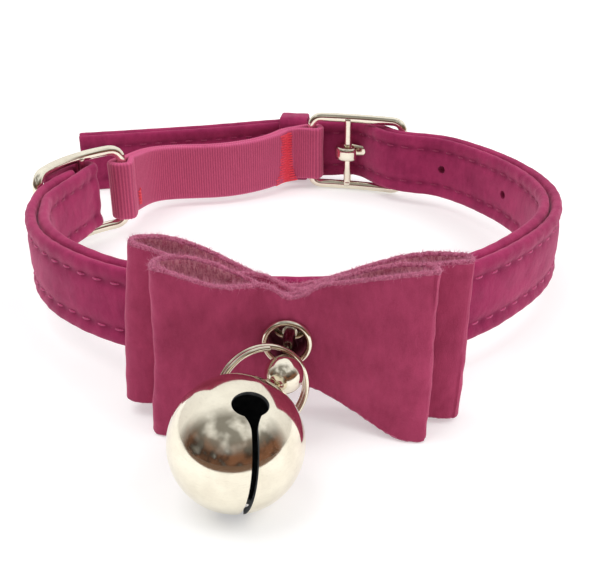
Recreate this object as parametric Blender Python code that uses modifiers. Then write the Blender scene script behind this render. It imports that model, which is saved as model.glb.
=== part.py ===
"""Pet bow tie collar: a fastened velvet collar standing on its edge, bow and bell in front.

Metres, +Z up. The bow faces -Y. The strap is a band that stands on edge, so its
route is drawn in plan and swept as a closed section. The part rests on the
buckle's frame and the strap's free tip at the back, on the front bow loop's lower
corners, and on the bell.
"""

import math

import bmesh
import bpy
import numpy as np
from mathutils import Matrix, Vector

# Longest step and sharpest turn along the strap
strap_step = 0.0055
strap_turn = math.radians(13)

# Clearances
seat_gap = 0.0003
ply_gap = 0.00015

# Strap: two velvet strips sewn back to back
strap_width = 0.0127
face_thickness = 0.00175
lining_thickness = 0.00175
roll_rise = 0.0003
stitch_inset = 0.0026
punch_diameter = 0.0017
punch_spacing = 0.020
punches_each_side = 2
tail_length = 0.0486
tail_sink = 2.2
tab_length = 0.0092

# Neck loop in plan, half sizes of the strap's middle line
loop_half_width = 0.0455
loop_half_depth = 0.0445

# Buckle and slide: bent wire frames of one size, each with a bar across
wire_radius = 0.00095
frame_length = 0.0204
frame_corner = 0.0021
buckle_bow = 0.0007
slide_bow = 0.0026
frame_side_gap = 0.0004
bar_share = 0.40
prong_radius = 0.00085
prong_step = 0.003
prong_turn = math.radians(20)

# Elastic webbing, doubled
elastic_width = 0.0117
elastic_thickness = 0.0012
elastic_sag = 0.0017
elastic_ease = 1.9

# Keeper
keeper_length = 0.0062
keeper_thickness = 0.0009
keeper_corner = 0.0016
keeper_rise = 0.0003
keeper_reach = 0.0052
elastic_dip = 0.0018

# Bow: heights are above the floor
eyelet_height = 0.0128
front_top = 0.0249
front_foot = 0.0
back_top = 0.0253
back_foot = 0.0014
bow_waist = 0.0122
bow_cloth = 0.0010
back_half_width = 0.0232
front_half_width = 0.0185
left_share = 0.92
left_lean = 0.045
front_tilt = 0.0
back_tilt = math.radians(2.0)
back_pocket = 0.0046
front_pocket = 0.0048
back_swing = 0.0010
front_swing = 0.0031

# Eyelet through the bow
eyelet_bore = 0.0050
eyelet_wall = 0.0003
eyelet_flange = 0.0069
eyelet_lip = 0.0005

# Ball stud through the strap
ball_diameter = 0.0050
neck_diameter = 0.0017
neck_length = 0.0028
shank_diameter = 0.0022
base_diameter = 0.0052
base_thickness = 0.0005
back_disc_diameter = 0.0070
back_disc_thickness = 0.0008

# Split ring: its middle is measured from the stud's neck
ring_radius = 0.0058
ring_wire = 0.00036
ring_turns = 1.9
ring_start = math.radians(60)
ring_aside = -0.0027
ring_ahead = 0.0023
ring_drop = 0.0028
ring_turn = math.radians(22)
ring_lean = math.radians(10)

# Bell
bell_radius = 0.0082
bell_wall = 0.0006
bell_slot = 0.0008
bell_keyhole = 0.0044
slot_half_angle = math.radians(66)
bell_yaw = math.radians(20)
bell_pitch = math.radians(-3)
bell_roll = math.radians(9)
bell_loop_radius = 0.0016
bell_loop_wire = 0.00045
bell_loop_seat = 0.75
pellet_radius = 0.0022

# Worked out from the sizes above
strap_thickness = face_thickness + seat_gap + lining_thickness
frame_half_height = strap_width / 2 + frame_side_gap + 2 * wire_radius
strap_rest = frame_half_height - strap_width / 2
pass_offset = wire_radius + seat_gap + strap_thickness / 2
bar_offset = pass_offset + 2 * prong_radius + seat_gap + buckle_bow / 2
stud_height = eyelet_height - (eyelet_bore - neck_diameter) / 2 + seat_gap
front_lift = stud_height - strap_width / 2

# Places in plan, as shares of the loop's half width and half depth
slide_place = (-0.955, 0.081)
slide_heading = math.radians(237.6)
buckle_place = (0.180, 0.865)
buckle_heading = math.radians(169)
stud_place = -0.013

# Route of the strap's middle line from slide to buckle: across and along, one row for each bend
strap_route = (
    (-1.009, -0.274),
    (-0.976, -0.427),
    (-0.895, -0.604),
    (-0.747, -0.773),
    (-0.516, -0.921),
    (-0.215, -0.995),
    (0.065, -0.998),
    (0.330, -0.930),
    (0.555, -0.785),
    (0.725, -0.590),
    (0.855, -0.370),
    (0.915, -0.125),
    (0.893, 0.120),
    (0.815, 0.343),
    (0.695, 0.543),
    (0.545, 0.687),
)
tail_route = (
    (-0.480, 0.985),
    (-0.780, 0.925),
    (-1.080, 0.855),
    (-1.400, 0.775),
)
elastic_route = (
    (-0.811, 0.438),
    (-0.756, 0.562),
    (-0.626, 0.629),
    (-0.484, 0.661),
    (-0.334, 0.728),
    (-0.215, 0.827),
)

# Bow loop from the middle to a fold: reach is a share of the half width, swing of
# the forward swing, open of the pocket, and the rest run from waist (0) to full (1)
bow_columns = ("reach", "swing", "open_left", "open_right", "top_left", "top_right", "back_top", "foot")
bow_sections = (
    (0.00, 0.00, 0.00, 0.00, 0.00, 0.00, 0.00, 0.00),
    (0.12, 0.00, 0.00, 0.00, 0.34, 0.12, 0.14, 0.10),
    (0.24, 0.00, 0.00, 0.00, 0.36, 0.40, 0.30, 0.22),
    (0.37, 0.24, 0.28, 0.20, 0.40, 0.52, 0.50, 0.38),
    (0.55, 0.62, 0.75, 0.42, 0.52, 0.72, 0.80, 0.62),
    (0.76, 0.90, 0.95, 0.55, 0.84, 0.90, 1.00, 0.96),
    (0.91, 1.00, 0.85, 0.55, 0.98, 1.00, 1.00, 1.00),
    (0.985, 1.00, 0.45, 0.35, 1.00, 1.00, 1.00, 1.00),
)


def clear_scene():
    """Remove whatever the file holds before the model is made."""
    for thing in list(bpy.data.objects):
        bpy.data.objects.remove(thing, do_unlink=True)


def new_collection(name):
    collection = bpy.data.collections.new(name)
    bpy.context.scene.collection.children.link(collection)
    return collection


def new_material(name, colour, roughness, metallic):
    material = bpy.data.materials.new(name)
    material.use_nodes = True
    shader = material.node_tree.nodes["Principled BSDF"]
    shader.inputs["Base Color"].default_value = (*colour, 1.0)
    shader.inputs["Roughness"].default_value = roughness
    shader.inputs["Metallic"].default_value = metallic
    return material


def add_object(name, data, collection, material=None):
    thing = bpy.data.objects.new(name, data)
    collection.objects.link(thing)
    if material is not None:
        thing.data.materials.append(material)
    return thing


def in_plan(share):
    """A place in plan from shares of the loop's half sizes."""
    return np.array([share[0] * loop_half_width, share[1] * loop_half_depth])


def local(place, heading, along, outward):
    """A plan point measured along a heading and outward, to the right of it."""
    ahead = np.array([math.cos(heading), math.sin(heading)])
    right = np.array([ahead[1], -ahead[0]])
    return in_plan(place) + along * ahead + outward * right


def on_slide(along, outward):
    """A plan point measured along the slide and outward from its bowed frame."""
    sag = slide_bow * (1 - (2 * along / frame_length) ** 2)
    return local(slide_place, slide_heading, along, outward + sag)


def spline(points, count, closed=False):
    """A cubic curve through the points, with even steps in chord length."""
    points = np.asarray(points, float)
    if closed:
        points = np.vstack([points, points[:1]])
    chord = np.linalg.norm(np.diff(points, axis=0), axis=1) ** 0.5
    knots = np.concatenate([[0.0], np.cumsum(chord)])
    size = len(knots)
    matrix = np.zeros((size, size))
    right = np.zeros((size, points.shape[1]))
    for row in range(1, size - 1):
        before, after = chord[row - 1], chord[row]
        matrix[row, row - 1:row + 2] = (before, 2 * (before + after), after)
        right[row] = 6 * ((points[row + 1] - points[row]) / after - (points[row] - points[row - 1]) / before)
    if closed:
        first, last = chord[0], chord[-1]
        matrix[0, 0], matrix[0, -1] = 1.0, -1.0
        matrix[-1, 0], matrix[-1, 1] = 2 * first, first
        matrix[-1, -2], matrix[-1, -1] = last, 2 * last
        right[-1] = 6 * ((points[1] - points[0]) / first - (points[-1] - points[-2]) / last)
    else:
        matrix[0, 0] = 1.0
        matrix[-1, -1] = 1.0
    bend = np.linalg.solve(matrix, right)
    values = np.linspace(0.0, knots[-1], count)
    span = np.clip(np.searchsorted(knots, values, side="right") - 1, 0, size - 2)
    step = chord[span][:, None]
    near = (knots[span + 1] - values)[:, None] / step
    far = 1.0 - near
    curve = near * points[span] + far * points[span + 1]
    curve += ((near ** 3 - near) * bend[span] + (far ** 3 - far) * bend[span + 1]) * step ** 2 / 6
    return curve


def lengths(path):
    """Distance along a path at each of its points."""
    steps = np.linalg.norm(np.diff(path, axis=0), axis=1)
    return np.concatenate([[0.0], np.cumsum(steps)])


def at_length(path, distance):
    """Points of a path at the given distances along it."""
    run = lengths(path)
    return np.stack([np.interp(distance, run, path[:, axis]) for axis in range(path.shape[1])], axis=-1)


def directions(path, closed=False):
    """Unit directions along a path."""
    if closed:
        change = np.roll(path, -1, axis=0) - np.roll(path, 1, axis=0)
    else:
        change = np.gradient(path, axis=0)
    return change / np.linalg.norm(change, axis=1)[:, None]


def offset(path, distance):
    """A plan path shifted outward, to the right of its direction."""
    ahead = directions(path)
    return path + distance * np.stack([ahead[:, 1], -ahead[:, 0]], axis=-1)


def thin(path, longest, sharpest):
    """Fewer points of a dense path: short steps where it bends, long ones elsewhere."""
    ahead = directions(path)
    kept = [0]
    travel = 0.0
    for index in range(1, len(path) - 1):
        travel += float(np.linalg.norm(path[index] - path[index - 1]))
        turn = math.acos(max(-1.0, min(1.0, float(ahead[index] @ ahead[kept[-1]]))))
        if travel >= longest or turn >= sharpest:
            kept.append(index)
            travel = 0.0
    if travel < longest / 4 and len(kept) > 1:
        kept.pop()
    kept.append(len(path) - 1)
    return path[kept]


def poly_curve(name, path, closed):
    """A 3D curve object's data with one straight-sided spline."""
    curve = bpy.data.curves.new(name, "CURVE")
    curve.dimensions = "3D"
    run = curve.splines.new("POLY")
    run.points.add(len(path) - 1)
    flat = np.ones((len(path), 4))
    flat[:, :3] = path
    run.points.foreach_set("co", flat.ravel())
    run.use_cyclic_u = closed
    return curve


def to_mesh(thing, name, collection, material):
    """Turn a curve object into a mesh object with its caps welded."""
    bpy.context.view_layer.update()
    graph = bpy.context.evaluated_depsgraph_get()
    mesh = bpy.data.meshes.new_from_object(thing.evaluated_get(graph))
    work = bmesh.new()
    work.from_mesh(mesh)
    bmesh.ops.remove_doubles(work, verts=work.verts, dist=0.00001)
    bmesh.ops.recalc_face_normals(work, faces=work.faces)
    work.to_mesh(mesh)
    work.free()
    place = thing.matrix_world.copy()
    bpy.data.objects.remove(thing, do_unlink=True)
    mesh.name = name
    mesh.materials.clear()
    made = add_object(name, mesh, collection, material)
    made.matrix_world = place
    return made


def sweep(name, path, section, collection, material, closed=False):
    """Sweep a closed section along a path, with the section's second axis upright."""
    outline = np.zeros((len(section), 3))
    outline[:, :2] = section
    profile = bpy.data.objects.new(name + "_section", poly_curve(name + "_section", outline, True))
    collection.objects.link(profile)
    curve = poly_curve(name + "_path", path, closed)
    curve.twist_mode = "Z_UP"
    curve.bevel_mode = "OBJECT"
    curve.bevel_object = profile
    curve.use_fill_caps = not closed
    swept = add_object(name + "_sweep", curve, collection)
    made = to_mesh(swept, name, collection, material)
    bpy.data.objects.remove(profile, do_unlink=True)
    return made


def wire(name, path, radius, collection, material, closed=False):
    """A round wire along a path."""
    curve = poly_curve(name + "_path", path, closed)
    curve.bevel_depth = radius
    curve.bevel_resolution = 2
    curve.use_fill_caps = not closed
    return to_mesh(add_object(name + "_wire", curve, collection), name, collection, material)


def combine(thing, other, operation):
    """Join or cut with another object and leave the result as plain mesh."""
    change = thing.modifiers.new(operation.lower(), "BOOLEAN")
    change.operation = operation
    change.solver = "EXACT"
    change.object = other
    bpy.context.view_layer.update()
    graph = bpy.context.evaluated_depsgraph_get()
    mesh = bpy.data.meshes.new_from_object(thing.evaluated_get(graph))
    thing.modifiers.clear()
    old = thing.data
    mesh.name = thing.name
    thing.data = mesh
    bpy.data.meshes.remove(old)


def absorb(thing, other):
    """Join another object into this one as one body."""
    combine(thing, other, "UNION")
    bpy.data.objects.remove(other, do_unlink=True)


def as_cutter(thing, cutters):
    for collection in list(thing.users_collection):
        collection.objects.unlink(thing)
    cutters.objects.link(thing)
    thing.hide_render = True
    thing.display_type = "WIRE"
    return thing


def rod_between(name, start, end, radius, collection, sides=16):
    """A straight cylinder from one point to another."""
    start, end = Vector(start), Vector(end)
    work = bmesh.new()
    bmesh.ops.create_cone(
        work, cap_ends=True, segments=sides, radius1=radius, radius2=radius, depth=(end - start).length)
    mesh = bpy.data.meshes.new(name)
    work.to_mesh(mesh)
    work.free()
    rod = add_object(name, mesh, collection)
    turn = (end - start).to_track_quat("Z", "Y").to_matrix().to_4x4()
    rod.matrix_world = Matrix.Translation((start + end) / 2) @ turn
    return rod


def turned(name, profile, steps, collection, material):
    """A turned piece from (radius, height) rows that run from top to bottom."""
    mesh = bpy.data.meshes.new(name)
    rows = [(radius, 0.0, height) for radius, height in profile]
    edges = [(index, index + 1) for index in range(len(rows) - 1)]
    mesh.from_pydata(rows, edges, [])
    piece = add_object(name, mesh, collection, material)
    screw = piece.modifiers.new("turn", "SCREW")
    screw.axis = "Z"
    screw.steps = steps
    screw.render_steps = steps
    screw.use_merge_vertices = True
    screw.merge_threshold = 0.00001
    screw.use_smooth_shade = True
    return piece


def lift_at(along):
    """Height of the strap's lower edge: it rises evenly from back to front."""
    share = np.clip((loop_half_depth - along) / (2 * loop_half_depth), 0.0, 1.0)
    return strap_rest + (front_lift - strap_rest) * share


def stand(path):
    """A strap's plan path lifted to the middle of its width; past the buckle's bar it sinks to the floor."""
    run = lengths(path)
    free_end = tail_length + keeper_reach + bar_share * frame_length
    held = np.clip((run[-1] - run) / free_end, 0.0, 1.0) ** tail_sink
    height = lift_at(path[:, 1]) * held + strap_width / 2
    return np.column_stack([path, height])


def hang(loop):
    """Height of the elastic's middle: it sags between its two bars as 4 u (1 - u)."""
    slide_bar = local(slide_place, slide_heading, -frame_length / 2, 0.0)
    buckle_bar = local(buckle_place, buckle_heading, frame_length / 2, 0.0)
    near = np.linalg.norm(loop - slide_bar, axis=1)
    far = np.linalg.norm(loop - buckle_bar, axis=1)
    share = near / (near + far)
    return lift_at(loop[:, 1]) + strap_width / 2 - elastic_sag * 4 * share * (1 - share)


def strap_middle():
    """The strap's middle line from the slide to its free tip, and where parts of it lie."""
    bar = (0.5 - bar_share) * frame_length
    half = frame_length / 2
    over_elastic = wire_radius + elastic_thickness + 2 * seat_gap + strap_thickness / 2
    start = []
    for along, closer in ((-bar + 0.0028, 0.0006), (half * 0.45, 0.0002), (half, 0.0)):
        start.append(on_slide(along, closer - pass_offset))
    steep = math.asin((pass_offset + bar_offset) / (bar + half))
    through = [
        local(buckle_place, buckle_heading, -half + pass_offset * 0.2, -pass_offset),
        local(buckle_place, buckle_heading, bar - bar_offset * math.sin(steep), bar_offset * math.cos(steep)),
        local(buckle_place, buckle_heading, bar, bar_offset),
        local(buckle_place, buckle_heading, half - 0.0010, over_elastic),
        local(buckle_place, buckle_heading, half + keeper_reach, over_elastic + keeper_rise),
    ]
    route = start + [in_plan(row) for row in strap_route] + through
    route += [in_plan(row) for row in tail_route]
    line = spline(route, 3000)
    run = lengths(line)
    keeper = through[-1]
    near = int(np.argmin(np.linalg.norm(line - keeper, axis=1)))
    end = run[near] + tail_length
    return at_length(line, np.linspace(0.0, end, 2400))


def strip_section(thickness, face):
    """Section of a strip: rolled edges, a dent at each stitch line, flat on its back."""
    half = strap_width / 2
    round_off = thickness / 2
    side = 1.0 if face else -1.0
    outer = thickness / 2
    rows = (
        (-outer, -half + round_off),
        (outer * 0.35, -half),
        (outer * 0.95, -half + round_off * 0.6),
        (outer, -half + stitch_inset * 0.6),
        (outer - roll_rise, -half + stitch_inset),
        (outer - roll_rise * 0.3, -half + stitch_inset * 1.7),
        (outer - roll_rise * 0.3, half - stitch_inset * 1.7),
        (outer - roll_rise, half - stitch_inset),
        (outer, half - stitch_inset * 0.6),
        (outer * 0.95, half - round_off * 0.6),
        (outer * 0.35, half),
        (-outer, half - round_off),
    )
    return np.array([(side * across, up) for across, up in rows])


def loop_tab():
    """Plan points of the lining's end: out along the strap, round the slide's bar and back in."""
    bar = (0.5 - bar_share) * frame_length
    bend = wire_radius + seat_gap + lining_thickness / 2
    rest = pass_offset - strap_thickness / 2 - seat_gap - lining_thickness / 2
    points = [
        (-bar + tab_length, -rest + 0.0001),
        (-bar + tab_length * 0.72, -rest + 0.00035),
        (-bar + tab_length * 0.36, bend * 0.62),
        (-bar, bend),
    ]
    for degrees in (135, 180, 225):
        angle = math.radians(degrees)
        points.append((-bar + bend * math.cos(angle), bend * math.sin(angle)))
    points.append((-bar, -bend))
    points.append((-bar + 0.0028, -pass_offset - 0.0003))
    return [on_slide(along, outward) for along, outward in points]


def punch(middle, cutters):
    """Rods for the row of adjusting holes, on both sides of the hole in use."""
    run = lengths(middle)
    used = prong_hole_at(middle)
    ahead = directions(middle)
    rods = []
    for step in range(-punches_each_side, punches_each_side + 1):
        if step == 0:
            continue
        near = int(np.argmin(np.abs(run - used - step * punch_spacing)))
        point = stand(middle)[near]
        side = np.array([ahead[near, 1], -ahead[near, 0], 0.0]) * strap_thickness
        name = "punch_%d" % (step + punches_each_side)
        rods.append(rod_between(name, point - side, point + side, punch_diameter / 2, cutters, 12))
    return rods


def frame_wire(name, place, heading, bow, mirror, collection, material):
    """A bent wire frame that stands on edge, a little bowed, with its bar across."""
    half_length = frame_length / 2
    half_height = frame_half_height - wire_radius
    corners = []
    for centre_u, centre_w, first in ((1, 1, 0), (-1, 1, 90), (-1, -1, 180), (1, -1, 270)):
        for degrees in (0, 30, 60, 90):
            angle = math.radians(first + degrees)
            along = centre_u * (half_length - frame_corner) + frame_corner * math.cos(angle)
            up = centre_w * (half_height - frame_corner) + frame_corner * math.sin(angle)
            corners.append((along, up))
        if centre_w * centre_u > 0:
            edge = centre_w * half_height
            corners += [(centre_u * half_length * share, edge) for share in (0.4, 0.0, -0.4)]
    base = frame_half_height + lift_at(in_plan(place)[1]) - strap_rest
    path = []
    for along, up in corners:
        outward = bow * (1 - (along / half_length) ** 2)
        point = local(place, heading, along, outward)
        path.append((point[0], point[1], base + up))
    frame = wire(name, np.array(path), wire_radius, collection, material, closed=True)
    bar = mirror * (0.5 - bar_share) * frame_length
    foot = local(place, heading, bar, bow * (1 - (bar / half_length) ** 2))
    low = (foot[0], foot[1], base - half_height)
    high = (foot[0], foot[1], base + half_height)
    absorb(frame, rod_between(name + "_bar", low, high, wire_radius * 0.92, collection, 12))
    return frame


def prong_route():
    """The tongue's path: round the bar, through the strap and onto the frame's far end."""
    bar = (0.5 - bar_share) * frame_length
    half = frame_length / 2
    bend = wire_radius + seat_gap + prong_radius
    sag = buckle_bow * (1 - (bar / half) ** 2)
    flat = []
    for degrees in range(150, -94, -27):
        angle = math.radians(degrees)
        flat.append((bar + bend * math.cos(angle), sag - bend * math.sin(angle)))
    for share in (0.25, 0.5, 0.75, 1.0):
        along = bar + share * (-half - prong_radius - bar)
        flat.append((along, sag * (1 - share) + bend))
    points = [local(buckle_place, buckle_heading, along, outward) for along, outward in flat]
    height = frame_half_height + lift_at(in_plan(buckle_place)[1]) - strap_rest
    return np.array([(point[0], point[1], height) for point in points])


def prong_hole_at(middle):
    """Distance along the strap where the tongue crosses its middle line."""
    route = prong_route()[-5:, :2]
    dense = at_length(route, np.linspace(0.0, lengths(route)[-1], 400))
    near = np.linalg.norm(middle[:, None, :] - dense[None, :, :], axis=2).min(axis=1)
    late = lengths(middle) > 0.5 * lengths(middle)[-1]
    return lengths(middle)[int(np.argmin(np.where(late, near, 1.0)))]


def elastic_path():
    """The elastic's closed route in plan: out along one layer and back along the other."""
    half = frame_length / 2
    apart = (elastic_thickness + ply_gap) / 2
    bend = wire_radius + 1.5 * seat_gap + elastic_thickness / 2
    slide_bar = local(slide_place, slide_heading, -half, 0.0)
    buckle_bar = local(buckle_place, buckle_heading, half, 0.0)
    at_keeper = local(buckle_place, buckle_heading, half + keeper_reach, -elastic_dip)
    line = spline([slide_bar] + [in_plan(row) for row in elastic_route] + [at_keeper, buckle_bar], 800)
    run = lengths(line)
    clear = bend * elastic_ease
    core = at_length(line, np.linspace(clear, run[-1] - clear, 60))
    points = list(offset(core, apart))
    for bar, entry in ((buckle_bar, core[-1]), (slide_bar, core[0])):
        away = (bar - entry) / np.linalg.norm(bar - entry)
        side = np.array([away[1], -away[0]])
        for degrees in (70, 35, 0, -35, -70):
            angle = math.radians(degrees)
            points.append(bar + bend * (math.cos(angle) * away + math.sin(angle) * side))
        if bar is buckle_bar:
            points += list(offset(core, -apart))[::-1]
    dense = spline(points, 2400, closed=True)
    return thin(dense, strap_step, strap_turn * 0.75)[:-1]


def rounded_section(across, upright, corner):
    """A closed rectangle with rounded corners, two points each."""
    points = []
    for side_x, side_y, first in ((1, 1, 0), (-1, 1, 90), (-1, -1, 180), (1, -1, 270)):
        for degrees in (15, 75):
            angle = math.radians(first + degrees)
            points.append((side_x * (across / 2 - corner) + corner * math.cos(angle),
                           side_y * (upright / 2 - corner) + corner * math.sin(angle)))
    return np.array(points)


def keeper_piece(middle, collection, material):
    """The keeper: a flat band that goes once round the strap's free end."""
    at = local(buckle_place, buckle_heading, frame_length / 2 + keeper_reach, 0.0)
    near = int(np.argmin(np.linalg.norm(middle - at, axis=1)))
    ahead = directions(middle)[near]
    outward = np.array([ahead[1], -ahead[0]])
    centre = middle[near]
    level = stand(middle)[near, 2]
    across = strap_thickness / 2 + 2 * seat_gap + keeper_thickness / 2
    upright = strap_width / 2 + seat_gap + keeper_thickness / 2
    path = []
    for side, up, first in ((1, 1, 0), (-1, 1, 90), (-1, -1, 180), (1, -1, 270)):
        for degrees in (0, 30, 60, 90):
            angle = math.radians(first + degrees)
            out = side * (across - keeper_corner) + keeper_corner * math.cos(angle)
            high = up * (upright - keeper_corner) + keeper_corner * math.sin(angle)
            path.append((out, high))
    work = bmesh.new()
    rings = []
    for step in (-0.5, 0.5):
        ring = []
        for out, high in path:
            point = centre + outward * out + ahead * keeper_length * step
            ring.append(work.verts.new((point[0], point[1], level + high)))
        rings.append(ring)
    for index in range(len(path)):
        after = (index + 1) % len(path)
        work.faces.new((rings[0][index], rings[0][after], rings[1][after], rings[1][index]))
    bmesh.ops.recalc_face_normals(work, faces=work.faces)
    mesh = bpy.data.meshes.new("keeper")
    work.to_mesh(mesh)
    work.free()
    keeper = add_object("keeper", mesh, collection, material)
    wall = keeper.modifiers.new("wall", "SOLIDIFY")
    wall.thickness = keeper_thickness
    wall.offset = 0.0
    return keeper


def bow_loop(name, half_width, pocket, swing, back_face, span, tilt, collection, material):
    """One loop of the bow: a band of cloth closed at both folds, pinched at the middle."""
    table = {key: np.array(column) for key, column in zip(bow_columns, zip(*bow_sections))}
    waist = bow_waist / 2
    pinch = (bow_cloth + ply_gap) / 2
    middle_y = back_face - bow_cloth - ply_gap / 2
    above = span[1] - eyelet_height
    below = eyelet_height - span[0]
    rings = []
    for side, front in ((1, True), (-1, True), (-1, False), (1, False)):
        order = range(len(table["reach"]))
        if (side > 0) == front:
            order = reversed(order)
        for row in order:
            reach = table["reach"][row]
            if reach == 0.0 and side < 0:
                continue
            opened = table["open_left" if side < 0 else "open_right"][row]
            half_open = pinch + (pocket / 2 - pinch - bow_cloth / 2) * opened
            forward = middle_y - swing * table["swing"][row]
            y = forward - half_open if front else forward + half_open
            front_rise = table["top_left" if side < 0 else "top_right"][row]
            top = waist + (above - waist) * (front_rise if front else table["back_top"][row])
            foot = waist + (below - waist) * table["foot"][row]
            rings.append((side * reach, y, foot, top))
        if front and side < 0 or (not front and side > 0):
            rings.append((side, middle_y - swing, below, above))
    lean = Matrix.Rotation(tilt, 3, "Y")
    middle = Vector((stud_place * loop_half_width, 0.0, eyelet_height))
    work = bmesh.new()
    columns = []
    for reach, y, foot, top in rings:
        column = []
        for up in (-foot, (top - foot) / 2, top):
            x = reach * half_width * (left_share if reach < 0 else 1.0) - left_lean * min(reach, 0.0) * up
            column.append(work.verts.new(middle + lean @ Vector((x, y, up))))
        columns.append(column)
    for index in range(len(columns)):
        after = (index + 1) % len(columns)
        for row in range(2):
            work.faces.new((columns[index][row], columns[after][row],
                            columns[after][row + 1], columns[index][row + 1]))
    bmesh.ops.recalc_face_normals(work, faces=work.faces)
    mesh = bpy.data.meshes.new(name)
    work.to_mesh(mesh)
    work.free()
    loop = add_object(name, mesh, collection, material)
    smooth = loop.modifiers.new("smooth", "SUBSURF")
    smooth.levels = 1
    smooth.render_levels = 1
    smooth.boundary_smooth = "PRESERVE_CORNERS"
    wall = loop.modifiers.new("wall", "SOLIDIFY")
    wall.thickness = bow_cloth
    wall.offset = 0.0
    wall.use_even_offset = True
    return loop


def bell_shell(facing, collection, cutters, material):
    """A hollow ball with a slot between two round holes, and a loop at its back."""
    work = bmesh.new()
    bmesh.ops.create_uvsphere(work, u_segments=26, v_segments=13, radius=bell_radius)
    mesh = bpy.data.meshes.new("bell")
    work.to_mesh(mesh)
    work.free()
    bell = add_object("bell", mesh, collection, material)
    work = bmesh.new()
    bmesh.ops.create_uvsphere(work, u_segments=20, v_segments=10, radius=bell_radius - bell_wall)
    mesh = bpy.data.meshes.new("bell_hollow")
    work.to_mesh(mesh)
    work.free()
    hollow = add_object("bell_hollow", mesh, collection)
    bpy.ops.mesh.primitive_torus_add(
        major_segments=14, minor_segments=6, major_radius=bell_loop_radius, minor_radius=bell_loop_wire)
    loop = bpy.context.object
    for owner in list(loop.users_collection):
        owner.objects.unlink(loop)
    collection.objects.link(loop)
    loop.location = (0.0, bell_radius + bell_loop_radius * 0.62, 0.0)
    bpy.context.view_layer.update()
    absorb(bell, loop)
    tools = [hollow]
    chord = bell_radius * math.sin(slot_half_angle)
    depth = bell_radius * math.cos(slot_half_angle)
    slot = bmesh.new()
    bmesh.ops.create_cube(slot, size=1.0)
    bmesh.ops.scale(slot, vec=(bell_slot, bell_radius, 2 * chord), verts=slot.verts)
    bmesh.ops.translate(slot, vec=(0.0, -bell_radius * 0.55 - depth * 0.5, 0.0), verts=slot.verts)
    mesh = bpy.data.meshes.new("bell_slot")
    slot.to_mesh(mesh)
    slot.free()
    tools.append(add_object("bell_slot", mesh, collection))
    for side in (-1, 1):
        way = Vector((0.0, -math.cos(slot_half_angle), side * math.sin(slot_half_angle)))
        tools.append(rod_between("bell_keyhole", way * bell_radius * 0.6, way * bell_radius * 1.2,
                                 bell_keyhole / 2, collection, 16))
    for tool in tools:
        as_cutter(tool, cutters)
        combine(bell, tool, "DIFFERENCE")
        tool.matrix_world = facing @ tool.matrix_world
    bell.matrix_world = facing
    return bell


def ring_frame(neck_at):
    """The split ring's middle, and its level, upright and axis directions."""
    turn = Matrix.Rotation(ring_turn, 3, "Z") @ Matrix.Rotation(-ring_lean, 3, "X")
    centre = neck_at + Vector((ring_aside, -ring_ahead, -ring_drop))
    level, up, axis = (turn @ Vector(way) for way in ((1.0, 0.0, 0.0), (0.0, 0.0, 1.0), (0.0, 1.0, 0.0)))
    return centre, level, up, axis


def split_ring(neck_at, collection, material):
    """A coil of nearly two turns that hangs on the stud's neck."""
    centre, reach, up, normal = ring_frame(neck_at)
    steps = int(30 * ring_turns)
    points = []
    for step in range(steps + 1):
        turn = step / steps - 0.5
        angle = 2 * math.pi * ring_turns * turn + ring_start
        along = normal * (2 * ring_wire + ply_gap) * ring_turns * turn
        point = centre + ring_radius * (math.cos(angle) * reach + math.sin(angle) * up) + along
        points.append(tuple(point))
    curve = poly_curve("split_ring_path", np.array(points), False)
    curve.bevel_depth = ring_wire
    curve.bevel_resolution = 1
    curve.use_fill_caps = True
    return to_mesh(add_object("split_ring_wire", curve, collection), "split_ring", collection, material)


def origin_of(parts):
    """The middle of the whole model's footprint, at its lowest point."""
    bpy.context.view_layer.update()
    graph = bpy.context.evaluated_depsgraph_get()
    low = np.full(3, np.inf)
    high = np.full(3, -np.inf)
    for piece in parts.objects:
        seen = piece.evaluated_get(graph)
        flat = np.empty(len(seen.data.vertices) * 3)
        seen.data.vertices.foreach_get("co", flat)
        turn = np.array(seen.matrix_world)
        points = flat.reshape(-1, 3) @ turn[:3, :3].T + turn[:3, 3]
        low = np.minimum(low, points.min(axis=0))
        high = np.maximum(high, points.max(axis=0))
    return np.array([(low[0] + high[0]) / 2, (low[1] + high[1]) / 2, low[2]])


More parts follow.
